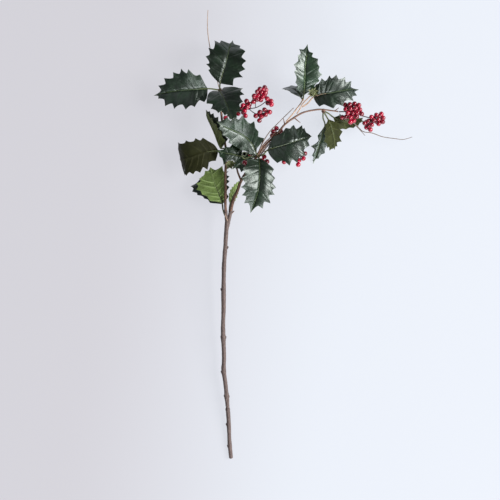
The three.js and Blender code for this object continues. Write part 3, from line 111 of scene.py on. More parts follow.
        b=[["e",2,6],["s",8,19],["n",13,16],["s",22,21],["n",26,15.5],["s",34,20],["n",37.5,14.5],["s",45,18],["n",47.5,12],["s",56,13],["n",58,7.5],["s",64,7],["n",65.5,3.5]]),
    "leaf_17": dict(hub=[115.3,218.5,43.4,3.1], via=[[123.3,214.8,41.0]], mid=[[130.8,208.9,37.0],[138.9,206.2,32.0],[150.5,203.1,24.0],[163.9,202.4,13.0],[181.7,206.3,0.9]],
        up=[0,0,-1], tw=[0,0,0], fa=[-6,-6,0], fb=[-6,-6,0], ka=[0,0,0], kb=[0,0,0], wave=[1.2,22,0.4], curl=0,
        a=[["e",4.8,5.0],["s",16.1,15.6],["n",21.9,11.9],["s",28.3,11.5],["n",34.9,7.9],["s",42.9,8.3],["n",47.1,5.4],["s",53.0,5.5],["n",55.3,2.3]],
        b=[["e",4.6,2.9],["s",11.3,8.5],["n",18.3,7.2],["s",28.4,14.5],["n",35.4,10.2],["s",50.9,12.7],["n",51.6,7.7],["s",62.9,5.7],["n",58.5,3.3]]),
    "leaf_18": dict(hub=[11.3,148.2,44.5,3.4], via=[], mid=[[3.8,144.4,31.0],[-3.8,141.3,29.0],[-12.0,137.4,25.0],[-20.6,133.0,19.0],[-28.3,128.5,12.0]],
        up=[0,0,1], tw=[0,0,0], fa=[4,4,4], fb=[4,4,4], ka=[0,0,0], kb=[0,0,0], wave=[1.2,22,0.1], curl=0,
        a=[["e",4.9,6.2],["s",16.7,18.2],["n",20.0,11.4],["s",27.2,11.8],["n",27.5,5.3],["s",34.1,2.9],["n",34.1,0.0]],
        b=[["e",1.2,5.6],["s",4.4,13.4],["n",11.0,10.3],["s",15.7,15.4],["n",21.2,10.2],["s",28.3,13.1],["n",31.1,5.8]]),
    "leaf_19": dict(hub=[-38.6,53.3,34.6,2.7], via=[[-41.4,59.1,30.0],[-43.0,65.8,26.4]], mid=[[-43.7,72.6,23.5],[-49.2,85.0,21.0],[-54.3,98.2,16.5],[-58.3,112.1,10.5],[-61.3,123.9,4.5]],
        up=[0,0,1], tw=[0,0,0], fa=[3,3,2], fb=[3,3,2], ka=[0,0,0], kb=[0,0,0], wave=[1.2,20,0.2], curl=0,
        a=[["e",4.3,7.4],["s",9.8,17.2],["n",15.7,18.4],["s",18.7,22.9],["n",23.4,24.1],["s",28.2,31.4],["n",32.5,30.8],["s",34.2,37.5],["n",37.5,34.3],["s",43.3,37.9],["n",47.3,26.6],["s",55.2,16.4],["n",53.2,9.3]],
        b=[["e",3.1,7.7],["s",6.6,14.1],["n",15.3,13.4],["s",21.3,21.0],["n",28.4,18.2],["s",32.9,24.2],["n",38.5,20.8],["s",40.8,26.4],["n",46.0,21.2],["s",51.1,26.8],["n",52.1,11.8]]),
}
STEMS = {
    "main_stem": [[-30.5,-331.4,3.0,3.0],[-32.6,-307.5,5.0,3.1],[-34.0,-271.7,8.2,3.2],[-36.9,-236.0,11.3,3.2],[-39.3,-212.3,13.3,3.25],[-41.8,-191.6,15.0,3.3],[-41.3,-170.8,16.8,3.3],[-42.4,-138.1,19.5,3.35],[-42.7,-123.7,20.7,3.35],[-42.0,-94.3,23.2,3.4],[-41.9,-61.7,25.8,3.45],[-41.1,-26.7,28.6,3.5],[-39.2,2.5,31.0,3.6],[-38.0,22.9,32.6,3.9],[-36.0,45.7,34.4,4.4]],
    "branch_left": [[-37.2,51.1,35.0,2.3],[-38.5,64.9,36.0,2.2],[-38.8,78.8,36.6,2.1],[-38.4,94.5,36.8,2.05],[-38.8,116.6,36.4,2.0],[-38.2,134.0,35.2,2.0],[-37.9,154.6,33.4,1.9],[-40.1,173.6,32.2,1.8],[-42.8,192.5,33.0,1.75],[-44.8,211.2,35.6,1.7],[-46.6,231.2,40.4,1.6],[-47.3,250.3,44.9,1.6]],
    "branch_right": [[-32.5,51.4,35.2,2.7],[-30.6,60.7,36.0,2.65],[-25.2,81.3,37.0,2.5],[-19.5,93.9,38.0,2.4],[-14.2,108.6,39.0,2.35],[-8.5,118.0,39.8,2.2],[0.8,133.6,42.0,2.05],[11.0,147.0,44.2,2.0],[25.7,166.0,46.0,1.75],[44.7,184.9,47.0,1.65],[54.1,196.4,47.0,1.55],[69.3,207.7,47.0,1.45],[82.7,215.4,46.6,1.35],[97.9,219.3,45.6,1.3],[111.3,220.8,44.4,1.25],[124.8,219.5,42.8,1.15],[138.4,217.7,41.0,1.0]],
    "hollow_stub": [[6.6,149.3,45.4,1.5],[-0.9,151.6,45.4,1.5],[-6.9,151.8,47.0,1.6],[-9.1,150.7,50.6,2.4],[-8.9,150.2,55.0,3.7]],
    "twig_long": [[15.1,156.2,48.0,0.8],[19.9,167.9,50.6,0.8],[31.3,185.6,52.0,0.75],[44.6,199.3,53.0,0.7],[68.2,222.1,55.0,0.6]],
    "twig_w1": [[56.7,201.2,49.3,0.85],[65.5,211.3,50.2,0.85],[75.1,223.8,49.6,0.85],[79.8,230.1,48.6,0.85],[82.6,234.9,47.8,0.85]],
    "twig_w2": [[73.7,213.8,49.0,0.8],[77.7,219.9,50.6,0.75],[82.9,229.1,53.0,0.75],[90.3,236.8,57.4,0.75],[97.5,244.2,64.0,0.8]],
    "tendril_top": [[-48.8,255.5,44.6,0.65],[-50.9,264.1,42.4,0.65],[-54.3,275.4,39.0,0.65],[-59.2,299.8,33.0,0.65],[-63.4,320.4,28.0,0.65],[-67.2,348.8,22.0,0.6],[-66.8,381.4,16.0,0.45]],
    "tendril_right": [[141.0,214.1,38.8,0.7],[149.0,206.5,35.4,0.7],[165.8,199.0,31.0,0.7],[179.6,187.2,26.0,0.65],[191.8,185.6,24.0,0.65],[210.8,179.5,21.0,0.6],[230.2,176.8,19.0,0.55],[241.4,175.5,18.0,0.5],[257.4,179.5,17.0,0.4]],
}
SPURS = {
    "branch_left": [[[-36.9,143.5,35.4,0.9],[-33.4,138.6,37.6,0.9],[-31.1,135.6,40.4,2.2]]],
    "branch_right": [[[-29.0,58.0,36.0,1.4],[-25.2,61.4,38.6,0.8]],[[54.3,198.2,47.4,1.0],[52.3,205.9,49.0,0.5]],[[70.0,206.8,47.0,1.0],[78.8,199.9,46.0,0.5]],[[133.0,218.5,42.0,0.9],[139.6,223.5,42.6,0.5]],[[-13.5,108.3,39.0,1.7],[-16.7,115.8,40.4,1.6],[-19.2,122.3,41.4,1.5],[-20.6,128.0,42.0,1.3]]],
    "tendril_right": [[[166.3,197.4,31.0,0.6],[174.5,189.0,29.0,0.55],[181.9,180.9,28.0,0.4]]],
}
HUBS = {
    "branch_left": [[-47.3,250.9,45.0,3.2],[-37.9,154.3,34.0,3.0]],
    "branch_right": [[11.3,148.2,44.5,3.4],[115.3,218.5,43.4,3.1]],
    "twig_w1": [[83.0,235.9,47.5,2.0]],
    "twig_w2": [[98.1,244.6,65.0,4.2]],
}
KNOTS = [[-35.7,3.9,31.4,2.4,2.0],[-45.0,-62.5,25.8,2.4,1.9],[-44.9,-138.1,19.5,2.6,2.0],[-39.4,-139.0,19.6,2.6,2.0],[-44.7,-194.0,14.8,2.8,1.9],[-39.8,-232.5,11.6,2.2,2.0],[-34.4,-233.4,11.5,2.2,2.0],[-37.0,-278.3,7.6,2.4,1.9],[-34.8,-313.0,4.6,2.4,1.9]]
PICKS = {
    "berry_pick_a": dict(wires=[[[-41.7,208.5,37.4,0.8],[-31.5,213.1,41.0,0.8],[-15.7,219.9,44.0,0.75],[-1.3,221.7,46.0,0.75]],[[-1.3,221.7,46.0,0.7],[9.6,223.5,47.0,0.7],[25.1,232.9,49.0,0.7]],[[8.9,223.5,47.0,0.65],[8.9,231.7,49.0,0.65],[13.5,241.3,50.0,0.65]],[[-1.3,221.4,46.0,0.65],[7.7,214.5,46.5,0.65],[17.3,213.1,46.5,0.65]]],
        berries=[[23.0,254.3,54.0,13.5,241.3,50.0],[15.5,251.6,58.6,13.5,241.3,50.0],[20.3,250.3,54.7,13.5,241.3,50.0],[11.2,247.0,58.4,13.5,241.3,50.0],[17.8,245.9,56.7,13.5,241.3,50.0],[24.1,245.3,56.4,13.5,241.3,50.0],[6.6,240.4,58.4,13.5,241.3,50.0],[13.1,241.4,55.9,13.5,241.3,50.0],[20.0,239.5,58.4,13.5,241.3,50.0],[11.3,235.5,55.5,13.5,241.3,50.0],[16.9,234.7,56.5,13.5,241.3,50.0],[5.3,231.8,53.8,13.5,241.3,50.0],[26.9,236.8,52.1,25.1,232.9,49.0],[32.9,233.4,50.0,25.1,232.9,49.0],[33.5,228.0,51.6,25.1,232.9,49.0],[22.7,219.8,48.8,17.3,213.1,46.5],[31.0,216.2,48.8,17.3,213.1,46.5],[15.5,216.0,50.5,17.3,213.1,46.5],[24.4,212.0,51.4,17.3,213.1,46.5],[8.9,210.1,51.6,17.3,213.1,46.5],[17.5,209.0,49.9,17.3,213.1,46.5],[14.6,202.8,50.5,17.3,213.1,46.5],[-5.5,233.3,51.0,-5.3,221.5,45.6],[-0.9,228.4,50.1,-5.3,221.5,45.6],[-11.0,226.3,52.1,-5.3,221.5,45.6],[-4.8,223.3,54.6,-5.3,221.5,45.6],[-14.1,220.9,49.8,-5.3,221.5,45.6],[-8.8,217.5,53.1,-5.3,221.5,45.6],[-7.2,210.4,46.8,-5.3,221.5,45.6],[-18.5,214.3,43.0,-28.3,214.4,42.0],[-38.3,207.4,42.9,-28.3,214.4,42.0],[-24.8,210.2,47.1,-28.3,214.4,42.0],[19.2,248.0,43.0,13.5,241.3,50.0],[12.3,241.1,42.5,13.5,241.3,50.0],[25.0,251.4,43.5,13.5,241.3,50.0],[16.7,238.2,43.0,13.5,241.3,50.0],[7.2,237.3,43.0,13.5,241.3,50.0],[22.9,243.2,43.5,13.5,241.3,50.0],[13.2,249.6,42.5,13.5,241.3,50.0],[28.0,231.1,42.0,25.1,232.9,49.0],[19.8,211.7,40.5,17.3,213.1,46.5],[27.0,217.3,41.0,17.3,213.1,46.5],[13.8,213.0,40.5,17.3,213.1,46.5],[-5.7,227.8,40.5,-5.3,221.5,45.6],[-9.4,222.8,40.2,-5.3,221.5,45.6],[-2.2,224.3,40.4,-5.3,221.5,45.6],[-10.7,216.2,40.2,-5.3,221.5,45.6]]),
    "berry_pick_b": dict(wires=[[[140.3,217.4,40.6,0.9],[151.0,217.7,40.0,0.9],[163.7,216.6,38.6,0.85],[177.1,211.3,36.0,0.8],[187.9,208.9,33.5,0.75],[200.6,207.5,31.0,0.7]]],
        berries=[[149.4,228.2,43.9,159.0,216.9,39.2],[156.3,228.2,49.1,159.0,216.9,39.2],[164.1,229.8,44.4,159.0,216.9,39.2],[170.9,227.4,45.8,159.0,216.9,39.2],[150.0,220.9,46.9,159.0,216.9,39.2],[157.3,221.2,49.8,159.0,216.9,39.2],[164.9,221.7,51.5,159.0,216.9,39.2],[172.4,220.4,45.1,159.0,216.9,39.2],[153.0,214.6,50.5,159.0,216.9,39.2],[160.8,214.4,49.5,159.0,216.9,39.2],[168.2,215.3,49.1,159.0,216.9,39.2],[175.1,213.5,47.0,159.0,216.9,39.2],[150.7,208.8,45.3,159.0,216.9,39.2],[157.6,207.7,50.0,159.0,216.9,39.2],[167.2,209.5,47.6,159.0,216.9,39.2],[145.0,208.8,41.4,159.0,216.9,39.2],[157.5,200.9,46.3,159.0,216.9,39.2],[163.0,203.2,44.4,159.0,216.9,39.2],[207.0,214.6,35.2,195.1,207.9,32.0],[199.2,212.8,35.6,195.1,207.9,32.0],[191.1,209.3,39.4,195.1,207.9,32.0],[210.0,208.4,33.6,195.1,207.9,32.0],[202.5,205.9,38.5,195.1,207.9,32.0],[195.0,203.4,41.7,195.1,207.9,32.0],[186.9,203.3,36.1,195.1,207.9,32.0],[191.3,197.0,39.6,195.1,207.9,32.0],[209.1,202.0,35.0,195.1,207.9,32.0],[202.5,198.7,38.4,195.1,207.9,32.0],[180.7,199.9,35.1,195.1,207.9,32.0],[183.9,193.6,30.7,195.1,207.9,32.0],[189.8,189.8,35.4,195.1,207.9,32.0],[154.6,225.9,33.5,159.0,216.9,39.2],[161.9,226.6,33.0,159.0,216.9,39.2],[169.4,225.9,33.5,159.0,216.9,39.2],[158.1,219.0,33.0,159.0,216.9,39.2],[166.0,220.0,33.0,159.0,216.9,39.2],[173.2,218.0,33.5,159.0,216.9,39.2],[155.6,212.7,33.0,159.0,216.9,39.2],[164.4,213.0,33.0,159.0,216.9,39.2],[204.1,211.8,22.5,195.1,207.9,32.0],[196.2,208.6,22.5,195.1,207.9,32.0],[208.0,206.4,22.5,195.1,207.9,32.0],[200.3,203.5,22.5,195.1,207.9,32.0],[190.8,201.9,22.5,195.1,207.9,32.0],[187.4,197.2,22.0,195.1,207.9,32.0],[184.5,202.9,22.5,195.1,207.9,32.0]]),
    "berry_pick_c": dict(wires=[[[19.5,158.4,42.4,0.7],[25.2,165.5,40.4,0.7],[34.7,177.4,37.2,0.7],[43.5,186.0,35.5,0.7]]],
        berries=[[41.6,191.6,38.6,41.6,185.4,35.5],[36.5,186.2,40.7,41.6,185.4,35.5],[35.0,180.3,35.5,41.6,185.4,35.5],[48.3,187.2,39.8,41.6,185.4,35.5],[53.6,182.9,35.5,41.6,185.4,35.5],[45.2,182.6,31.0,41.6,185.4,35.5],[39.5,183.9,30.5,41.6,185.4,35.5]]),
    "berry_pick_d": dict(wires=[[[18.2,153.2,40.6,0.7],[27.6,156.2,37.4,0.7],[39.5,152.4,33.0,0.7],[53.7,145.1,29.0,0.7],[79.1,144.6,27.0,0.7]]],
        berries=[[87.0,152.5,26.8,79.1,144.6,27.0],[84.3,144.6,32.2,79.1,144.6,27.0],[77.5,142.0,28.1,79.1,144.6,27.0],[76.2,135.0,28.6,79.1,144.6,27.0],[53.7,139.2,30.2,53.7,145.1,29.0],[81.8,151.2,22.5,79.1,144.6,27.0]]),
    "berry_pick_e": dict(wires=[[[15.7,143.7,42.0,0.7],[21.1,143.3,38.4,0.7]]],
        berries=[[22.4,147.1,37.5,21.1,143.3,38.4],[18.9,140.6,40.3,21.1,143.3,38.4],[26.8,139.7,35.0,21.1,143.3,38.4]]),
    "berry_pick_f": dict(wires=[[[6.0,149.7,41.8,0.7],[0.9,149.2,39.0,0.7],[-5.0,141.7,38.0,0.7]]],
        berries=[[0.3,151.2,38.0,0.9,149.2,39.0],[5.3,156.4,40.0,0.9,149.2,39.0],[-1.9,158.2,36.1,0.9,149.2,39.0],[-8.2,137.5,40.1,-5.0,141.7,38.0],[-4.7,131.7,36.1,-5.0,141.7,38.0]]),
}


# ------------------------------------------------------------------ small kit
def norm(a):
    return a / np.maximum(1e-12, np.linalg.norm(a, axis=-1, keepdims=True))


def hash01(*k):
    """A repeatable number from 0 to 1 for these whole numbers or text."""
    h = 2166136261
    for c in repr(k):
        h = ((h ^ ord(c)) * 16777619) & 0xFFFFFFFF
    h ^= h >> 15
    h = (h * 2246822519) & 0xFFFFFFFF
    h ^= h >> 13
    return (h & 0xFFFFFF) / 0xFFFFFF


_lattice = np.random.default_rng(7).uniform(-1, 1, (32, 32, 32))


def noise3(p, scale):
    """Smooth value noise from -1 to 1 at points p (N x 3, mm), features about scale mm."""
    q = np.asarray(p, float) / scale + 100.0
    i = np.floor(q).astype(int)
    f = q - i
    f = f * f * (3 - 2 * f)
    out = 0
    for dx in (0, 1):
        for dy in (0, 1):
            for dz in (0, 1):
                w = (f[:, 0] if dx else 1 - f[:, 0]) * (f[:, 1] if dy else 1 - f[:, 1]) * (f[:, 2] if dz else 1 - f[:, 2])
                out = out + w * _lattice[(i[:, 0] + dx) % 32, (i[:, 1] + dy) % 32, (i[:, 2] + dz) % 32]
    return out


def curve(points, n, extra=None):
    """Cubic Hermite with chord-length tangents, n samples a span; extra columns go along linearly."""
    p = [np.asarray(q, float) for q in points]
    h = [max(1e-6, float(np.linalg.norm(p[i + 1] - p[i]))) for i in range(len(p) - 1)]
    d = [(p[i + 1] - p[i]) / h[i] for i in range(len(p) - 1)]
    m = [None] * len(p)
    for i in range(1, len(p) - 1):
        m[i] = (d[i] * h[i - 1] + d[i - 1] * h[i]) / (h[i - 1] + h[i])
    if len(p) > 2:
        m[0] = d[0] * 1.5 - m[1] * 0.5
        m[-1] = d[-1] * 1.5 - m[-2] * 0.5
    else:
        m[0] = m[1] = d[0]
    out, ex = [p[0]], [extra[0]] if extra is not None else None
    for i in range(len(p) - 1):
        for j in range(1, n + 1):
            t = j / n
            t2, t3 = t * t, t * t * t
            out.append((2 * t3 - 3 * t2 + 1) * p[i] + (t3 - 2 * t2 + t) * h[i] * m[i] + (3 * t2 - 2 * t3) * p[i + 1] + (t3 - t2) * h[i] * m[i + 1])
            if ex is not None:
                ex.append(extra[i] + (extra[i + 1] - extra[i]) * t)
    return (np.array(out), np.array(ex)) if extra is not None else np.array(out)


class Mesh:
    """Collects closed shells with a material index per face and named numbers per vertex."""

    def __init__(self):
        self.v, self.f, self.m, self.a, self.n = [], [], [], {}, 0

    def add(self, verts, faces, mat, **att):
        verts = np.asarray(verts, float)
        count = len(verts)
        for k in set(self.a) | set(att):
            if k not in self.a:
                self.a[k] = [np.zeros(self.n)] if self.n else []
            value = att.get(k, 0.0)
            self.a[k].append(np.broadcast_to(np.asarray(value, float), (count,)).copy())
        self.v.append(verts)
        self.f += [tuple(i + self.n for i in f) for f in faces]
        self.m += list(mat) if hasattr(mat, "__len__") else [mat] * len(faces)
        self.n += count

    def make(self, name, materials, sharp=None):
        v = (np.concatenate(self.v) + SHIFT) / 1000.0
        v[:, 2] = np.maximum(v[:, 2], 0.00003)          # nothing sinks into the surface
        mesh = bpy.data.meshes.new(name)
        mesh.from_pydata([tuple(p) for p in v], [], self.f)
        mesh.validate(clean_customdata=False)
        for mat in materials:
            mesh.materials.append(mat)
        mesh.polygons.foreach_set("material_index", np.array(self.m, np.int32))
        mesh.polygons.foreach_set("use_smooth", np.ones(len(mesh.polygons), bool))
        for k, parts in self.a.items():
            at = mesh.attributes.new(k, "FLOAT", "POINT")
            at.data.foreach_set("value", np.concatenate(parts).astype(np.float32))
        if sharp:
            mesh.set_sharp_from_angle(angle=math.radians(sharp))
        mesh.update()
        ob = bpy.data.objects.new(name, mesh)
        bpy.context.scene.collection.objects.link(ob)
        return ob


def sweep(points, radii, sides, relief=None, end_a="cap", end_b="cap", ripple=0.0, seed=0):
    """A closed round shell along points. relief(along_mm, angle, centre) gives a radius share to add.
    An end is cap (domed) or flat; any other value is closed flat too. Returns verts, faces, along, angle."""
    c = np.asarray(points, float)
    r = np.asarray(radii, float)
    n = len(c)
    t = norm(np.gradient(c, axis=0))
    along = np.concatenate([[0], np.cumsum(np.linalg.norm(np.diff(c, axis=0), axis=1))])
    ref = np.array([0, 0, 1.0]) if abs(t[0][2]) < 0.9 else np.array([1.0, 0, 0])
    side = norm(ref - np.dot(ref, t[0]) * t[0])
    verts, al, an = [], [], []
    ang = 2 * np.pi * (np.arange(sides) + 0.5) / sides

    def ring(centre, tangent, side, radius, s):
        other = np.cross(tangent, side)
        rr = np.full(sides, radius)
        if relief is not None:
            rr = rr * (1 + relief(s, ang, centre))
        if ripple:
            q = centre + np.outer(np.cos(ang), side) * radius + np.outer(np.sin(ang), other) * radius + seed * 13.7
            rr = rr * (1 + ripple * noise3(q, 2.6) + 0.5 * ripple * noise3(q, 1.1))
        verts.extend(centre + np.outer(np.cos(ang) * rr, side) + np.outer(np.sin(ang) * rr, other))
        al.extend([s] * sides)
        an.extend(ang)

    frames = []
    for i in range(n):
        side = norm(side - np.dot(side, t[i]) * t[i])
        frames.append((c[i], t[i], side, r[i], along[i]))
    if end_a == "cap":
        for k in (0.92, 0.6):
            f = frames[0]
            ring(f[0] - f[1] * f[3] * k * 0.7, f[1], f[2], f[3] * math.sqrt(1 - k * k), f[4])
    for f in frames:
        ring(*f)
    if end_b == "cap":
        for k in (0.6, 0.92):
            f = frames[-1]
            ring(f[0] + f[1] * f[3] * k * 0.7, f[1], f[2], f[3] * math.sqrt(1 - k * k), f[4])
    verts = np.array(verts)
    rings = len(verts) // sides
    faces = []
    for i in range(rings - 1):
        for k in range(sides):
            a, b = i * sides + k, i * sides + (k + 1) % sides
            faces.append((a, b, b + sides, a + sides))
    first = verts[:sides].mean(0) - (frames[0][1] * frames[0][3] * 0.05)
    last = verts[-sides:].mean(0) + (frames[-1][1] * frames[-1][3] * 0.05)
    verts = np.vstack([verts, first, last])
    al += [along[0], along[-1]]
    an += [0.0, 0.0]
    p, q = len(verts) - 2, len(verts) - 1
    for k in range(sides):
        faces.append((p, (k + 1) % sides, k))
        faces.append((q, (rings - 1) * sides + k, (rings - 1) * sides + (k + 1) % sides))
    return verts, faces, np.array(al), np.array(an)


def ball(centre, axis, radius, around, rings, shape=None, stretch=1.0):
    """A closed ball whose pole looks along axis; shape(angle from pole, turn) gives a radius share to add."""
    axis = norm(np.asarray(axis, float))
    ref = np.array([0, 0, 1.0]) if abs(axis[2]) < 0.9 else np.array([1.0, 0, 0])
    x = norm(np.cross(ref, axis))
    y = np.cross(axis, x)
    verts, polar = [], []
    for i in range(rings + 1):
        th = math.pi * i / rings
        turns = [0.0] if i in (0, rings) else [2 * math.pi * (k + 0.5 * (i % 2)) / around for k in range(around)]
        for ph in turns:
            rr = radius * (1 + (shape(th, ph) if shape else 0.0))
            verts.append(np.asarray(centre) + rr * (math.sin(th) * (math.cos(ph) * x + math.sin(ph) * y) + stretch * math.cos(th) * axis))
            polar.append(th)
    last = len(verts) - 1
    at = lambda i, k: 1 + (i - 1) * around + k % around
    faces = []
    for k in range(around):
        faces.append((0, at(1, k), at(1, k + 1)))
        faces.append((last, at(rings - 1, k + 1), at(rings - 1, k)))
        for i in range(1, rings - 1):
            a, b, c, d = at(i, k), at(i, k + 1), at(i + 1, k), at(i + 1, k + 1)
            if i % 2:
                faces += [(a, c, b), (b, c, d)]
            else:
                faces += [(a, c, d), (a, d, b)]
    return np.array(verts), faces, np.array(polar)


# ------------------------------------------------------------------ leaf blade surface
def tab(values, u):
    return np.interp(u, np.linspace(0, 1, len(values)), values)


class Blade:
    """The bent surface over flat coordinates: s along the midrib, v across, in mm."""

    def __init__(self, leaf):
        self.leaf = leaf
        c = curve(leaf["mid"], 12)
        self.s = np.concatenate([[0], np.cumsum(np.linalg.norm(np.diff(c, axis=0), axis=1))])
        self.c = c
        t = np.gradient(c, axis=0)
        t[0], t[-1] = c[1] - c[0], c[-1] - c[-2]
        self.t = norm(t)
        n, ns = np.asarray(leaf["up"], float), []
        for k in self.t:
            n = n - np.dot(n, k) * k
            n = n / np.linalg.norm(n)
            ns.append(n)
        self.n = np.array(ns)
        self.len = self.s[-1]

    def frame(self, s):
        q = np.clip(s, 0, self.len)
        grab = lambda a: np.stack([np.interp(q, self.s, a[:, k]) for k in range(3)], -1)
        c, t, n = grab(self.c), norm(grab(self.t)), grab(self.n)
        n = norm(n - (n * t).sum(-1, keepdims=True) * t)
        b = np.cross(n, t)
        a = np.radians(tab(self.leaf["tw"], s / self.len))[..., None]
        n2, b2 = n * np.cos(a) + b * np.sin(a), b * np.cos(a) - n * np.sin(a)
        return c + t * (s - q)[..., None], t, n2, b2

    def at(self, s, v):
        leaf = self.leaf
        s, v = np.asarray(s, float), np.asarray(v, float)
        c, t, n, b = self.frame(s)
        side, w, u = np.where(v >= 0, 1.0, -1.0), np.abs(v), s / self.len
        f = np.radians(np.where(v >= 0, tab(leaf["fa"], u), tab(leaf["fb"], u)))
        k = np.radians(np.where(v >= 0, tab(leaf["ka"], u), tab(leaf["kb"], u)))
        w0, kc = w.copy(), np.zeros_like(w)
        if leaf["curl"]:
            on = (side == leaf["curl"][0]) & (w > leaf["curl"][1])
            w0 = np.where(on, leaf["curl"][1], w)
            kc = np.radians(tab(leaf["curl"][2:], u))
        x = y = 0.0
        for f0, kk, ww in ((f, k, w0), (f + k * w0, k + kc, w - w0)):
            flat = np.abs(kk) < 1e-5
            ks = np.where(flat, 1.0, kk)
            x = x + np.where(flat, ww * np.cos(f0), (np.sin(f0 + ks * ww) - np.sin(f0)) / ks)
            y = y + np.where(flat, ww * np.sin(f0), (np.cos(f0) - np.cos(f0 + ks * ww)) / ks)
        amp, per, ph = leaf["wave"]
        y = y + amp * (w / 30.0) ** 2 * np.sin(2 * np.pi * (s / per + ph) + np.where(side > 0, 0.9, 0.0))
        return c + (side * x)[..., None] * b + y[..., None] * n


def outline(chain, length):
    """Fine margin of one side: spines are cusps, the notches between them smooth scallops.
    Returns s, w, midrib root of each sample, vein number (whole at the spines) and which are corners."""
    n = len(chain)
    roots, last = [], 0.0
    for i, (kind, s, w) in enumerate(chain):
        want = max(s - 0.62 * w, ((i + 1) / (n + 1)) * length * 0.55)
        last = min(length * 0.94 - (n - 1 - i) * 1.2, max(want, last + 1.2))
        roots.append(last)
    pts = [("s", 0.0, 0.0)] + [tuple(q) for q in chain] + [("s", length, 0.0)]
    roots = [0.0] + roots + [length]
    corners = [i for i, q in enumerate(pts) if q[0] == "s"]
    S, W, R, Q, C = [0.0], [0.0], [0.0], [0.0], [True]
    for j in range(len(corners) - 1):
        i0, i1 = corners[j], corners[j + 1]
        p = [np.array(pts[i][1:3]) for i in range(i0, i1 + 1)]
        fine, root = curve(p, STEPS, [roots[i] for i in range(i0, i1 + 1)])
        straight = np.array([p[0]] + [p[i] + (p[i + 1] - p[i]) * k / STEPS for i in range(len(p) - 1) for k in range(1, STEPS + 1)])
        fine = 0.55 * fine + 0.45 * straight
        m = len(fine) - 1
        for k in range(1, m + 1):
            S.append(fine[k][0]); W.append(max(0.0, fine[k][1])); R.append(root[k]); Q.append(j + k / m); C.append(k == m)
    return np.array(S), np.array(W), np.array(R), np.array(Q), np.array(C)


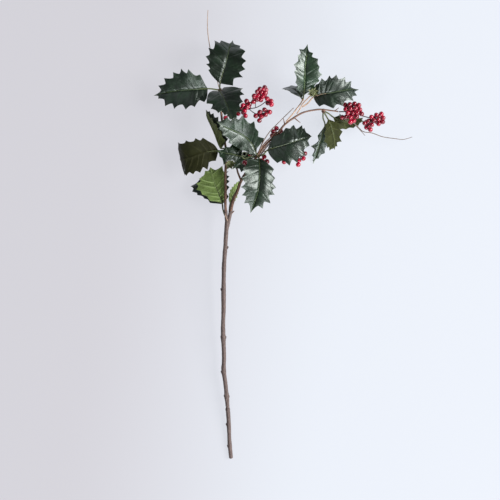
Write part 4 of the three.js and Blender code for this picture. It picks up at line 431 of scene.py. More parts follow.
def leaf_piece(name, leaf, look):
    blade = Blade(leaf)
    L = blade.len
    sides = {k: outline(leaf[k], L) for k in "ab"}
    # midrib roots shared by both sides, keeping every spine's own root
    every = sorted([(r, bool(c)) for k in "ab" for r, c in zip(sides[k][2], sides[k][4])])
    roots = []
    for r, c in every:
        if roots and r - roots[-1][0] < (0.02 if c and roots[-1][1] else 0.28):
            if c and not roots[-1][1]:
                roots[-1] = (r, c)
            continue
        roots.append((r, c))
    root = np.array([r for r, c in roots])
    root[0], root[-1] = 0.0, L
    NC = len(root)
    frac = (np.arange(ROWS + 1) / ROWS) ** 1.45
    S, V, ids = [], [], {}
    for c in range(NC):
        ids["m", c] = len(S)
        S.append(root[c]); V.append(0.0)
    att = {k: [0.0] * NC for k in ("dlat", "dmid", "fw", "q")}
    rise = [0.0] * NC
    for key, sg in (("a", 1.0), ("b", -1.0)):
        os_, ow, orr, oq, oc = sides[key]
        es, ew, eq = np.interp(root, orr, os_), np.interp(root, orr, ow), np.interp(root, orr, oq)
        spine = np.flatnonzero(oc)
        vs, vw, vr = os_[spine], ow[spine], orr[spine]      # vein ends and roots, first is the base, last the tip
        K = len(spine) - 1
        for c in range(1, NC - 1):
            j = min(K - 1, int(eq[c]))
            g = eq[c] - j
            for r in range(1, ROWS + 1):
                f = frac[r]
                bow = f ** 1.12
                ids[key, c, r] = len(S)
                S.append(root[c] + (es[c] - root[c]) * bow)
                V.append(sg * ew[c] * f)
                gap = math.hypot((vr[j + 1] - vr[j]) + ((vs[j + 1] - vr[j + 1]) - (vs[j] - vr[j])) * bow, (vw[j + 1] - vw[j]) * f)
                near = min(g, 1 - g) * gap
                if (j == 0 and g < 0.5) or (j == K - 1 and g > 0.5):
                    near = max(g, 1 - g) * gap          # no vein runs along the base edge or the tip
                amp = look["quilt"] * (0.75 + 0.5 * hash01(name, key, j))
                full = min(1.0, gap / 9.0)
                env = min(1.0, f / 0.16) * (1 - 0.75 * max(0.0, (f - 0.62) / 0.38) ** 1.5)
                crease = -0.28 * math.exp(-(near / 0.9) ** 2) * min(1.0, ew[c] / 8.0) * (1 - 0.6 * f)
                d = ew[c] * f
                h = amp * full * env * math.sin(math.pi * g) ** 0.8 + crease
                h += -0.75 * math.exp(-(d / 1.7) ** 2) * min(1.0, (L - root[c]) / 14)
                h += look["ruffle"] * f ** 3 * math.sin(2 * math.pi * (eq[c] + 0.25)) * min(1.0, ew[c] / 10)
                rise.append(h)
                att["dlat"].append(near); att["dmid"].append(d); att["fw"].append(f); att["q"].append(eq[c] + (0 if sg > 0 else 20))
    for c in range(NC):
        rise[c] = (-0.75 + 0.62) * min(1.0, (L - root[c]) / 14)     # raised cord in the bottom of the midrib groove
    S, V, rise = np.array(S), np.array(V), np.array(rise)
    mid = blade.at(S, V)
    faces = []

    def at(key, c, r):
        if r == 0 or c in (0, NC - 1):
            return ids["m", c]
        return ids[key, c, r]

    for key, sg in (("a", 1), ("b", -1)):
        for c in range(NC - 1):
            for r in range(ROWS):
                q = [at(key, c, r), at(key, c + 1, r), at(key, c + 1, r + 1), at(key, c, r + 1)]
                q = [x for i, x in enumerate(q) if x != q[i - 1]]
                if len(q) < 3:
                    continue
                faces.append(tuple(q) if sg > 0 else tuple(q[::-1]))

    def normals(p):
        out = np.zeros_like(p)
        tri = np.array([(f[0], f[i], f[i + 1]) for f in faces for i in range(1, len(f) - 1)])
        m = np.cross(p[tri[:, 1]] - p[tri[:, 0]], p[tri[:, 2]] - p[tri[:, 0]])
        for k in range(3):
            np.add.at(out, tri[:, k], m)
        return norm(out)

    fw = np.array(att["fw"])
    mid = mid + normals(mid) * (rise + look["rough"] * (noise3(mid, 13.0) + 0.35 * noise3(mid, 5.0)) * np.minimum(1, fw * 3))[:, None]
    nn = normals(mid)
    half = (BLADE / 2 * (1 - 0.45 * fw ** 5))[:, None]
    n = len(mid)
    verts = np.vstack([mid + nn * half, mid - nn * half])
    rim = [ids["m", 0]] + [ids["a", c, ROWS] for c in range(1, NC - 1)] + [ids["m", NC - 1]] + [ids["b", c, ROWS] for c in range(NC - 2, 0, -1)]
    allf = list(faces) + [tuple(n + i for i in f[::-1]) for f in faces]
    mats = [0] * len(faces) + [1] * len(faces)
    for i in range(len(rim)):
        p, q = rim[i], rim[(i + 1) % len(rim)]
        allf.append((p, n + p, n + q, q))
        mats.append(2)
    both = lambda a: np.concatenate([a, a])
    M = Mesh()
    lift = 40.0 * hash01(name)
    gloss = look.get("gloss", 1.0)
    # painted light and shade: each leaf's tone value from LOOKS is stored on the blade and scales its colour
    M.add(verts, allf, mats, dlat=both(np.array(att["dlat"])), dmid=both(np.array(att["dmid"])), fw=both(fw), qv=both(np.array(att["q"])),
          fs=both(S), fv=both(V), tone=look["tone"], pick=lift, gloss=gloss)
    # the stalk: out of the knuckle, then on as the tapering rib under the blade
    hub = np.array(leaf["hub"][:3])
    first = np.array(leaf["via"][0] if leaf["via"] else leaf["mid"][0])
    d = norm(first - hub)
    rows = [list(hub + d * leaf["hub"][3] * 0.35) + [STALK * 1.12]]
    rows += [list(q) + [STALK] for q in leaf["via"]]
    end = look["rib"]
    mids = np.flatnonzero(np.abs(V) < 1e-9)
    for u in (0.012, 0.06, 0.12, 0.2, 0.3, 0.42, 0.55, 0.7, 0.86):
        if u > end:
            break
        s = u * L
        i = [int(k) for k in mids[np.argsort(np.abs(S[mids] - s))[:2]]]
        p = np.stack([np.interp([s], S[mids], mid[mids][:, k])[0] for k in range(3)])
        m = norm(np.stack([np.interp([s], S[mids], nn[mids][:, k])[0] for k in range(3)]))
        rr = STALK * (1 - 0.78 * (u / end) ** 0.8)
        rows.append(list(p - m * (BLADE * 0.5 + rr * 0.32)) + [max(0.28, rr)])
    pts, rad = curve([q[:3] for q in rows], 5, [q[3] for q in rows])
    v, f, al, an = sweep(pts, rad, 12, ripple=0.03, seed=int(lift))
    M.add(v, f, 3, tone=look["tone"], pick=lift, along=al, turn=an, fs=al, fv=an * 2)
    return M


# ------------------------------------------------------------------ materials
def lin(r, g, b):
    """sRGB 0-255 to a linear RGBA."""
    out = []
    for c in (r, g, b):
        c = c / 255.0
        out.append(c / 12.92 if c <= 0.04045 else ((c + 0.055) / 1.055) ** 2.4)
    return (*out, 1.0)


class Mat:
    def __init__(self, name):
        self.m = bpy.data.materials.new(name)
        self.m.use_nodes = True
        self.t = self.m.node_tree
        self.b = self.t.nodes["Principled BSDF"]

    def node(self, kind, **kw):
        n = self.t.nodes.new(kind)
        for k, v in kw.items():
            setattr(n, k, v)
        return n

    def link(self, a, b):
        self.t.links.new(a, b)

    def value(self, x, socket):
        if isinstance(x, (int, float)):
            socket.default_value = x
        else:
            self.link(x, socket)

    def att(self, name):
        return self.node("ShaderNodeAttribute", attribute_name=name).outputs["Fac"]

    def math(self, op, a, b=0.0, c=0.0, clamp=False):
        n = self.node("ShaderNodeMath", operation=op, use_clamp=clamp)
        for i, x in enumerate((a, b, c)):
            self.value(x, n.inputs[i])
        return n.outputs[0]

    def smooth(self, x, lo, hi, a=0.0, b=1.0):
        n = self.node("ShaderNodeMapRange", interpolation_type="SMOOTHSTEP")
        for i, q in enumerate((x, lo, hi, a, b)):
            self.value(q, n.inputs[i])
        return n.outputs[0]

    def mix(self, f, a, b, mode="MIX"):
        n = self.node("ShaderNodeMix", data_type="RGBA", blend_type=mode)
        self.value(f, n.inputs[0])
        for i, x in ((6, a), (7, b)):
            if isinstance(x, tuple):
                n.inputs[i].default_value = x
            else:
                self.link(x, n.inputs[i])
        return n.outputs[2]

    def vec(self, x, y, z):
        n = self.node("ShaderNodeCombineXYZ")
        for i, q in enumerate((x, y, z)):
            self.value(q, n.inputs[i])
        return n.outputs[0]

    def noise(self, vector, scale, detail=3.0, rough=0.55, distortion=0.0):
        n = self.node("ShaderNodeTexNoise")
        self.link(vector, n.inputs["Vector"])
        n.inputs["Scale"].default_value = scale
        n.inputs["Detail"].default_value = detail
        n.inputs["Roughness"].default_value = rough
        n.inputs["Distortion"].default_value = distortion
        return n.outputs["Fac"]

    def cells(self, vector, scale, feature="DISTANCE_TO_EDGE"):
        n = self.node("ShaderNodeTexVoronoi", feature=feature)
        self.link(vector, n.inputs["Vector"])
        n.inputs["Scale"].default_value = scale
        return n.outputs["Distance"]

    def bump(self, height, strength, distance, normal=None):
        n = self.node("ShaderNodeBump")
        n.inputs["Strength"].default_value = strength
        n.inputs["Distance"].default_value = distance
        self.link(height, n.inputs["Height"])
        if normal is not None:
            self.link(normal, n.inputs["Normal"])
        return n.outputs["Normal"]

    def set(self, **kw):
        for k, v in kw.items():
            s = self.b.inputs[k.replace("_", " ")]
            if isinstance(v, (int, float, tuple)):
                s.default_value = v
            else:
                self.link(v, s)
        return self.m


def leaf_coords(m):
    """Flat leaf coordinates in mm, moved apart for each leaf so that no two look alike."""
    return m.vec(m.att("fs"), m.att("fv"), m.att("pick"))


def weave(m, pos, scale):
    """Fine plain weave of the coated cloth."""
    s = m.node("ShaderNodeSeparateXYZ")
    m.link(pos, s.inputs[0])
    a = m.math("SINE", m.math("MULTIPLY", m.math("ADD", s.outputs[0], s.outputs[1]), scale))
    b = m.math("SINE", m.math("MULTIPLY", m.math("SUBTRACT", s.outputs[0], s.outputs[1]), scale))
    return m.math("MULTIPLY", a, b)


def make_leaf_top():
    m = Mat("leaf_top_coated_cloth")
    pos = leaf_coords(m)
    big = m.noise(pos, 0.055, 3.0, 0.6)
    fine = m.noise(pos, 0.45, 4.0, 0.6)
    crumple = m.noise(pos, 0.085, 3.0, 0.5, 0.8)
    net = m.cells(pos, 0.42)
    tone = m.att("tone")
    col = m.mix(m.smooth(big, 0.35, 0.7), lin(*C_TOP_DARK), lin(*C_TOP_MID))
    col = m.mix(m.math("MULTIPLY", m.smooth(fine, 0.5, 0.8), 0.35), col, lin(*C_TOP_LIGHT))
    lines = m.smooth(net, 0.0, 0.12, 1.0, 0.0)
    col = m.mix(m.math("MULTIPLY", lines, 0.14), col, lin(*C_TOP_LIGHT))
    lateral = m.math("MULTIPLY", m.smooth(m.att("dlat"), 0.08, 0.45, 1.0, 0.0), m.smooth(m.att("fw"), 0.35, 0.95, 0.22, 0.02))
    col = m.mix(lateral, col, lin(*C_VEIN))
    rib = m.smooth(m.att("dmid"), 0.15, 0.5, 1.0, 0.0)
    col = m.mix(m.math("MULTIPLY", rib, 0.62), col, lin(*C_RIB))
    col = m.mix(m.smooth(m.att("fw"), 0.965, 1.0, 0.0, 0.4), col, lin(*C_TOP_LIGHT))
    # painted light and shade: the top colour is scaled by the leaf's own tone value
    col = m.mix(1.0, col, m.vec(tone, tone, tone), "MULTIPLY")
    rough = m.math("ADD", m.smooth(fine, 0.3, 0.7, TOP_ROUGH - 0.04, TOP_ROUGH + 0.06), m.math("MULTIPLY", rib, 0.12))
    h = m.bump(weave(m, pos, 7.5), 0.10, 0.00008)
    h = m.bump(fine, 0.28, 0.0003, h)
    h = m.bump(m.smooth(net, 0.0, 0.16), 0.30, 0.00014, h)
    h = m.bump(crumple, 0.35, 0.0022, h)
    return m.set(Base_Color=col, Roughness=rough, Normal=h, Coat_Weight=m.math("MULTIPLY", m.att("gloss"), TOP_COAT), Coat_Roughness=0.28, Specular_IOR_Level=m.math("MULTIPLY", m.att("gloss"), TOP_SPEC), Specular_Tint=(0.89, 1.0, 0.94, 1.0))


def make_leaf_under():
    m = Mat("leaf_underside_cloth")
    pos = leaf_coords(m)
    big = m.noise(pos, 0.06, 3.0, 0.6)
    fine = m.noise(pos, 0.6, 4.0, 0.6)
    net = m.cells(pos, 0.42)
    tone = m.att("tone")
    col = m.mix(m.smooth(big, 0.3, 0.7), lin(*C_UNDER_DARK), lin(*C_UNDER_MID))
    col = m.mix(m.math("MULTIPLY", m.smooth(fine, 0.45, 0.8), 0.4), col, lin(*C_UNDER_LIGHT))
    col = m.mix(m.math("MULTIPLY", m.smooth(net, 0.0, 0.14, 1.0, 0.0), 0.25), col, lin(*C_UNDER_LIGHT))
    lateral = m.math("MULTIPLY", m.smooth(m.att("dlat"), 0.15, 0.9, 1.0, 0.0), m.smooth(m.att("fw"), 0.3, 0.95, 0.75, 0.15))
    col = m.mix(lateral, col, lin(*C_UNDER_VEIN))
    col = m.mix(m.smooth(m.att("dmid"), 0.3, 1.2, 0.6, 0.0), col, lin(*C_UNDER_VEIN))
    # painted light and shade: the underside colour is scaled by the leaf's own tone value, bluer as it is brightened
    # and yellower as it is darkened
    col = m.mix(1.0, col, m.vec(m.math("POWER", tone, 0.9), tone, m.math("POWER", tone, 1.06)), "MULTIPLY")
    h = m.bump(weave(m, pos, 6.0), 0.25, 0.00012)
    h = m.bump(fine, 0.4, 0.0003, h)
    h = m.bump(m.smooth(net, 0.0, 0.16), 0.4, 0.0002, h)
    rough = m.smooth(fine, 0.3, 0.7, 0.5, 0.64)
    return m.set(Base_Color=col, Roughness=rough, Normal=h, Specular_IOR_Level=0.12, Sheen_Weight=0.01, Sheen_Roughness=0.5)


def make_leaf_edge():
    m = Mat("leaf_cut_edge")
    pos = leaf_coords(m)
    fray = m.noise(pos, 2.2, 3.0, 0.7)
    col = m.mix(m.smooth(fray, 0.35, 0.7), lin(*C_EDGE_DARK), lin(*C_EDGE_LIGHT))
    return m.set(Base_Color=col, Roughness=m.smooth(fray, 0.3, 0.7, 0.55, 0.8), Normal=m.bump(fray, 0.5, 0.0002))


def wood(name, dark, mid, light, rough, grain=1.0, tape=0.0, side=0.0):
    """Moulded bark or taped wire: stretched along the stem by its own along/angle numbers."""
    m = Mat(name)
    along, turn = m.att("along"), m.att("turn")
    around = m.vec(m.math("MULTIPLY", m.math("COSINE", turn), 2.6), m.math("MULTIPLY", m.math("SINE", turn), 2.6), m.math("MULTIPLY", along, 0.16))
    close = m.vec(m.math("MULTIPLY", m.math("COSINE", turn), 3.0), m.math("MULTIPLY", m.math("SINE", turn), 3.0), m.math("MULTIPLY", along, 0.6))
    streak = m.noise(around, 1.4, 5.0, 0.62, 0.6)
    pits = m.noise(close, 2.1, 4.0, 0.6)
    flecks = m.cells(close, 1.3, "F1")
    col = m.mix(m.smooth(streak, 0.32, 0.68), lin(*dark), lin(*mid))
    col = m.mix(m.smooth(pits, 0.52, 0.75, 0.0, 0.75), col, lin(*light))
    col = m.mix(m.smooth(flecks, 0.0, 0.22, 0.45, 0.0), col, lin(*dark))
    h = m.bump(streak, 0.7 * grain, 0.0006)
    h = m.bump(pits, 0.6 * grain, 0.0004, h)
    if tape:
        wind = m.math("SINE", m.math("ADD", m.math("MULTIPLY", along, tape), turn))
        edge = m.smooth(wind, 0.75, 1.0)
        col = m.mix(m.math("MULTIPLY", edge, 0.35), col, lin(*dark))
        h = m.bump(edge, 0.5, 0.0003, h)
    if side:
        # painted shade: the stem is painted darker down one side, as the side away from the light would be
        flank = m.math("ADD", m.math("SINE", turn), m.math("MULTIPLY", m.math("SUBTRACT", streak, 0.5), 1.2))
        col = m.mix(m.smooth(flank, -0.75, 0.25, side, 0.0), col, lin(*dark))
    return m.set(Base_Color=col, Roughness=m.smooth(pits, 0.3, 0.7, rough - 0.1, rough + 0.1), Normal=h, Specular_IOR_Level=0.4)


def make_berry():
    m = Mat("berry_lacquer")
    geo = m.node("ShaderNodeTexCoord").outputs["Object"]
    big = m.noise(geo, 190.0, 2.0, 0.5)
    fine = m.noise(geo, 900.0, 3.0, 0.6)
    # on the berries this value only varies at random from berry to berry
    tone, polar = m.att("tone"), m.att("polar")
    col = m.mix(m.smooth(big, 0.3, 0.7), lin(*C_BERRY_DARK), lin(*C_BERRY))
    col = m.mix(m.smooth(tone, 0.0, 1.0, 0.0, 0.7), col, lin(*C_BERRY_LIGHT))
    col = m.mix(m.smooth(fine, 0.6, 0.85, 0.0, 0.35), col, lin(*C_BERRY_DARK))
    dot = m.smooth(m.math("ADD", polar, m.math("MULTIPLY", m.math("SUBTRACT", fine, 0.5), 0.12)), 0.16, 0.26, 1.0, 0.0)
    col = m.mix(m.math("MULTIPLY", dot, 0.9), col, lin(38, 14, 16))
    tail = m.smooth(polar, 2.75, 3.0)
    col = m.mix(m.math("MULTIPLY", tail, 0.7), col, lin(70, 20, 26))
    h = m.bump(fine, 0.18, 0.00012)
    h = m.bump(big, 0.25, 0.0005, h)
    rough = m.math("ADD", m.smooth(fine, 0.3, 0.7, 0.17, 0.27), m.math("MULTIPLY", dot, 0.35))
    return m.set(Base_Color=col, Roughness=rough, Normal=h, Coat_Weight=0.5, Coat_Roughness=0.12, Specular_IOR_Level=0.55)


def make_stalk():
    m = Mat("leaf_stalk")
    pos = leaf_coords(m)
    n1 = m.noise(pos, 0.25, 4.0, 0.6)
    n2 = m.noise(pos, 1.4, 3.0, 0.6)
    col = m.mix(m.smooth(n1, 0.35, 0.65), lin(*C_STALK_DARK), lin(*C_STALK))
    col = m.mix(m.smooth(n2, 0.5, 0.8, 0.0, 0.5), col, lin(*C_STALK_LIGHT))
    h = m.bump(n2, 0.5, 0.0003)
    return m.set(Base_Color=col, Roughness=m.smooth(n2, 0.3, 0.7, 0.45, 0.62), Normal=h)


def make_bract():
    m = Mat("bract_green")
    pos = m.node("ShaderNodeTexCoord").outputs["Object"]
    n1 = m.noise(pos, 260.0, 3.0, 0.6)
    n2 = m.noise(pos, 1300.0, 3.0, 0.6)
    col = m.mix(m.smooth(n1, 0.35, 0.65), lin(78, 84, 52), lin(118, 124, 84))
    col = m.mix(m.smooth(n2, 0.5, 0.8, 0.0, 0.5), col, lin(166, 170, 130))
    return m.set(Base_Color=col, Roughness=m.smooth(n2, 0.3, 0.7, 0.4, 0.6), Normal=m.bump(n2, 0.5, 0.0003))


C_TOP_DARK, C_TOP_MID, C_TOP_LIGHT = (9, 18, 8), (17, 36, 18), (40, 63, 40)
C_VEIN, C_RIB = (54, 76, 48), (98, 116, 76)
TOP_ROUGH, TOP_COAT, TOP_SPEC = 0.37, 0.30, 0.9
C_UNDER_DARK, C_UNDER_MID, C_UNDER_LIGHT, C_UNDER_VEIN = (60, 68, 34), (80, 91, 48), (104, 117, 68), (112, 122, 78)
C_EDGE_DARK, C_EDGE_LIGHT = (60, 70, 44), (126, 128, 88)
C_BERRY_DARK, C_BERRY, C_BERRY_LIGHT = (84, 2, 24), (146, 4, 38), (186, 12, 56)
C_STALK_DARK, C_STALK, C_STALK_LIGHT = (48, 58, 32), (82, 92, 50), (132, 132, 84)

leaf_top, leaf_under, leaf_edge, stalk_mat = make_leaf_top(), make_leaf_under(), make_leaf_edge(), make_stalk()
# side= paints shade down one side of the bark and of the taped branches
bark = wood("moulded_bark", (66, 54, 52), (112, 95, 90), (152, 138, 132), 0.62, 1.3, side=0.6)
knot_mat = wood("stem_knots", (44, 32, 32), (88, 72, 68), (138, 124, 118), 0.66, 1.4)
taped = wood("taped_branch", (64, 42, 34), (150, 114, 96), (216, 178, 154), 0.6, 0.8, tape=0.5, side=0.75)
grey_wire = wood("bare_twig", (84, 70, 64), (138, 122, 112), (186, 170, 158), 0.62, 0.6, tape=0.9)
stub_mat = wood("stub_bark", (48, 56, 40), (92, 102, 78), (136, 144, 118), 0.6, 0.8)
# painted shade: the inside of the hollow stub is coloured near-black, as the shade deep in a hole
bore_shade_mat = wood("stub_bore_painted_shade", (10, 10, 8), (20, 20, 16), (34, 32, 26), 0.85, 0.4)
tan_wire = wood("taped_twig", (138, 106, 86), (208, 180, 156), (240, 222, 200), 0.62, 0.6, tape=0.9)
dark_wire = wood("berry_wire_paper", (40, 18, 26), (70, 38, 46), (110, 74, 76), 0.6, 0.6, tape=1.3)
berry_mat = make_berry()
bract_mat = make_bract()


# ------------------------------------------------------------------ stems
def bark_relief(knots, rings, cut=None):
    """Radius share of the moulded stem: ridges along it and rings. The knots argument is not used."""
    knots = [np.asarray(k, float) for k in knots]

    def relief(s, ang, centre):
        ridge = 0.045 * np.sin(5 * ang + 0.05 * s + 0.8 * math.sin(s / 17.0)) + 0.03 * np.sin(9 * ang - 0.07 * s)
        slow = 0.03 * math.sin(s / 9.3) + 0.02 * math.sin(s / 3.7 + 1.0)
        out = ridge + slow
        for r0, depth, width in rings:
            out = out + depth * math.exp(-((s - r0) / width) ** 2)
        return out

    return relief


def swell(rows, extra):
    """Radii along a curve with local swellings [x, y, z, share, length mm] added."""
    pts, rad = rows
    out = rad.copy()
    for x, y, z, share, length in extra:
        d = np.linalg.norm(pts - np.array([x, y, z]), axis=1)
        out = out * (1 + share * np.exp(-(d / length) ** 2))
    return pts, out


def refine(rows, step):
    """Points and radii of a table row list about every step mm."""
    p, r = curve([q[:3] for q in rows], 24, [q[3] for q in rows])
    s = np.concatenate([[0], np.cumsum(np.linalg.norm(np.diff(p, axis=0), axis=1))])
    n = max(6, int(round(s[-1] / step)))
    q = np.linspace(0, s[-1], n + 1)
    return np.stack([np.interp(q, s, p[:, k]) for k in range(3)], -1), np.interp(q, s, r)


def add_tube(M, rows, step, sides, mat, relief=None, ripple=0.06, seed=0, extra=(), end_a="cap", end_b="cap"):
    p, r = swell(refine(rows, step), extra)
    v, f, al, an = sweep(p, r, sides, relief=relief, ripple=ripple, seed=seed, end_a=end_a, end_b=end_b)
    M.add(v, f, mat, along=al, turn=an)
    return p, r


def add_knuckle(M, hub, mat, seed=0, stretch=1.15, axis=(0.2, 1, 0.1)):
    """The taped swelling that leaf stalks plug into: lumpy, with three wound ridges."""
    def shape(th, ph):
        return 0.05 * math.sin(3 * ph + seed) * math.sin(th) + 0.07 * math.sin(7 * th + seed) + 0.03 * math.sin(5 * ph - 4 * th)
    v, f, po = ball(hub[:3], axis, hub[3] * 0.98, 22, 14, shape, stretch)
    M.add(v, f, mat, along=po * hub[3], turn=np.arctan2(v[:, 1] - hub[1], v[:, 0] - hub[0]))


def bract(M, base, direction, up, length, width, curl, mat, seed=0):
    """One small pointed scale: a cupped closed sliver."""
    base, d = np.asarray(base, float), norm(np.asarray(direction, float))
    n = norm(np.asarray(up, float) - np.dot(up, d) * d)
    b = np.cross(n, d)
    N, K = 9, 4
    grid = []
    for i in range(N + 1):
        u = i / N
        w = width * (math.sin(math.pi * min(1, u * 1.05 + 0.06)) ** 0.8) * (1 - u) ** 0.35 * 0.5 + 0.12
        ang = math.radians(curl) * u
        c = base + d * length * (math.sin(ang) / math.radians(curl) if abs(curl) > 1 else u) + n * length * ((1 - math.cos(ang)) / math.radians(curl) if abs(curl) > 1 else 0)
        nn = n * math.cos(ang) - d * math.sin(ang)
        grid.append([c + b * w * q + nn * (0.42 * w * q * q + 0.10 * math.sin(6 * u + seed)) for q in np.linspace(-1, 1, K + 1)])
        grid[-1] = [np.asarray(x) for x in grid[-1]]
        if i == 0:
            ns = []
        ns.append(nn)
    W = K + 1
    top = [p + ns[i] * 0.22 for i, row in enumerate(grid) for p in row]
    bot = [p - ns[i] * 0.22 for i, row in enumerate(grid) for p in row]
    n0 = len(top)
    faces = []
    for i in range(N):
        for k in range(K):
            a = i * W + k
            faces.append((a, a + W, a + W + 1, a + 1)[::-1])
            faces.append((n0 + a, n0 + a + W, n0 + a + W + 1, n0 + a + 1))
    for i in range(N):
        a, e = i * W, i * W + K
        faces.append((a, a + W, n0 + a + W, n0 + a)[::-1])
        faces.append((e, e + W, n0 + e + W, n0 + e))
    for k in range(K):
        a, e = k, N * W + k
        faces.append((a, a + 1, n0 + a + 1, n0 + a))
        faces.append((e, e + 1, n0 + e + 1, n0 + e)[::-1])
    # the sliver's faces are turned out as a whole
    V = np.array(top + bot)
    vol = sum(np.dot(V[f[0]], np.cross(V[f[i]], V[f[i + 1]])) for f in faces for i in range(1, len(f) - 1))
    if vol < 0:
        faces = [f[::-1] for f in faces]
    M.add(V, faces, mat, tone=hash01(seed, length))


def finish_piece(M, name, mats, nodes, sharp=None):
    ob = M.make(name, mats, sharp)
    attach(ob, "root")
    if nodes:
        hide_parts(*nodes)
    return ob


def make_stems():
    M = Mesh()
    rings = [(78.0, 0.16, 1.6), (81.5, -0.12, 1.2), (98.0, 0.05, 5.0), (146.0, 0.06, 4.0), (205.0, 0.06, 4.0), (262.0, 0.05, 4.0), (330.0, 0.08, 4.0)]
    rows = [list(q) for q in STEMS["main_stem"]]
    for i, share in ((11, 0.96), (12, 0.90), (13, 0.82), (14, 0.82)):      # slimmer neck below the fork
        rows[i][3] *= share
    extra = [(k[0], k[1], k[2], 0.10, 6.0) for k in KNOTS]
    add_tube(M, rows, 1.3, 28, 0, relief=bark_relief(KNOTS, rings), ripple=0.05, extra=extra, end_b="cap")
    # leaf-scar knots: short slanted stubs with a dark cut face, pointing up the stem
    for i, k in enumerate(KNOTS):
        c = np.array(k[:3])
        p, r = refine(rows, 1.3)
        j = int(np.argmin(np.linalg.norm(p - c, axis=1)))
        out = norm(c - p[j])
        t = norm(p[min(len(p) - 1, j + 2)] - p[max(0, j - 2)])
        a = p[j] + out * r[j] * 0.55 - t * k[3] * 0.9
        b = c + out * k[4] * 0.42 + t * k[3] * 0.55
        add_tube(M, [[*a, k[4] * 0.95], [*((a + b) / 2 + out * 0.25), k[4] * 0.86], [*b, k[4] * 0.62]], 0.5, 16, 2, ripple=0.12, seed=i + 1)
    # the fork: the moulded stem runs on a little way round the foot of each branch
    for i, row in enumerate((
            ((226.8, 226.0, 33.6, 3.0), (226.6, 221.0, 34.5, 2.9), (226.3, 217.0, 35.1, 2.75), (226.0, 213.0, 35.6, 2.5), (225.9, 210.6, 35.8, 2.3)),
            ((227.6, 226.0, 33.7, 3.0), (228.4, 221.4, 34.6, 3.2), (229.3, 217.6, 35.2, 3.1), (230.2, 213.6, 35.8, 2.95), (230.8, 211.0, 36.1, 2.75)))):
        add_tube(M, [[*mmp(*q[:3]), q[3]] for q in row], 0.8, 18, 0, ripple=0.08, seed=80 + i)
    # and the pale seam where the two branches part
    add_tube(M, [[*mmp(*q[:3]), q[3]] for q in ((225.2, 213.0, 37.6, 0.35), (225.8, 216.4, 37.7, 0.6), (226.9, 219.6, 37.6, 0.65), (228.3, 222.2, 37.0, 0.6), (229.3, 223.4, 36.2, 0.35))], 0.6, 10, 1, ripple=0.08, seed=85)
    finish_piece(M, "main_stem_bark", [bark, tan_wire, knot_mat], ["main_stem"], 50)

    for name, parts in (("branch_left", "branch_left_taped"), ("branch_right", "branch_right_taped"), ("hollow_stub", "hollow_stub_taped")):
        M = Mesh()
        rows = STEMS[name]
        if name == "hollow_stub":
            # a flared open end: outer wall, lip and inner wall in one closed shell
            p, r = refine(rows, 0.9)
            r = r * 1.0
            n = len(p)
            r = r * (1 + 0.06 * np.clip((np.arange(n) / (n - 1) - 0.8) / 0.2, 0, 1) ** 1.5)
            t = norm(p[-1] - p[-3])
            pin = [p[-1] + t * 0.3, p[-1] + t * 0.05, p[-1] - t * 0.8, p[-1] - t * 3.0, p[-1] - t * 5.0]
            rin = [r[-1] * 0.92, r[-1] * 0.66, r[-1] * 0.5, r[-1] * 0.42, r[-1] * 0.25]
            v, f, al, an = sweep(p, r, 20, ripple=0.05, seed=5, end_b="flat")
            # replace the flat end by the turned-in bore
            last = len(v) - 1
            body = [q for q in f if last not in q]
            ring0 = len(v) - 2 - 20
            base = [v[ring0 + k] for k in range(20)]
            verts, faces, along, turn = list(v[:-1]), list(body), list(al[:-1]), list(an[:-1])
            prev = [ring0 + k for k in range(20)]
            centre, bored = p[-1], []
            for q, rr in zip(pin, rin):
                here = []
                for k in range(20):
                    d = base[k] - centre
                    d = norm(d - np.dot(d, t) * t)
                    here.append(len(verts))
                    verts.append(q + d * rr)
                    along.append(al[-1])
                    turn.append(an[ring0 + k])
                for k in range(20):
                    faces.append((prev[k], prev[(k + 1) % 20], here[(k + 1) % 20], here[k]))
                # the deeper part of the bore gets the near-black painted shade
                if rr < rin[1]:
                    bored += range(len(faces) - 20, len(faces))
                prev = here
            verts.append(pin[-1] - t * 0.2)
            along.append(al[-1])
            turn.append(0.0)
            for k in range(20):
                faces.append((prev[k], prev[(k + 1) % 20], len(verts) - 1))
            bored += range(len(faces) - 20, len(faces))
            M.add(np.array(verts), faces, [1 if i in set(bored) else 0 for i in range(len(faces))], along=np.array(along), turn=np.array(turn))
        else:
            def relief(s, ang, centre, k=0.5):
                return 0.035 * np.sin(4 * ang + 0.2 * s) + 0.045 * np.maximum(0, np.sin(s * k + ang)) ** 6
            add_tube(M, rows, 1.2, 18, 0, relief=relief, ripple=0.06, seed=3)
        for i, q in enumerate(SPURS.get(name, []) if name != "branch_left" else []):
            add_tube(M, q, 0.7, 12, 0, ripple=0.10, seed=20 + i)
        for i, hub in enumerate(HUBS.get(name, [])):
            add_knuckle(M, hub, 0, seed=i + len(name))
        if name == "branch_right":
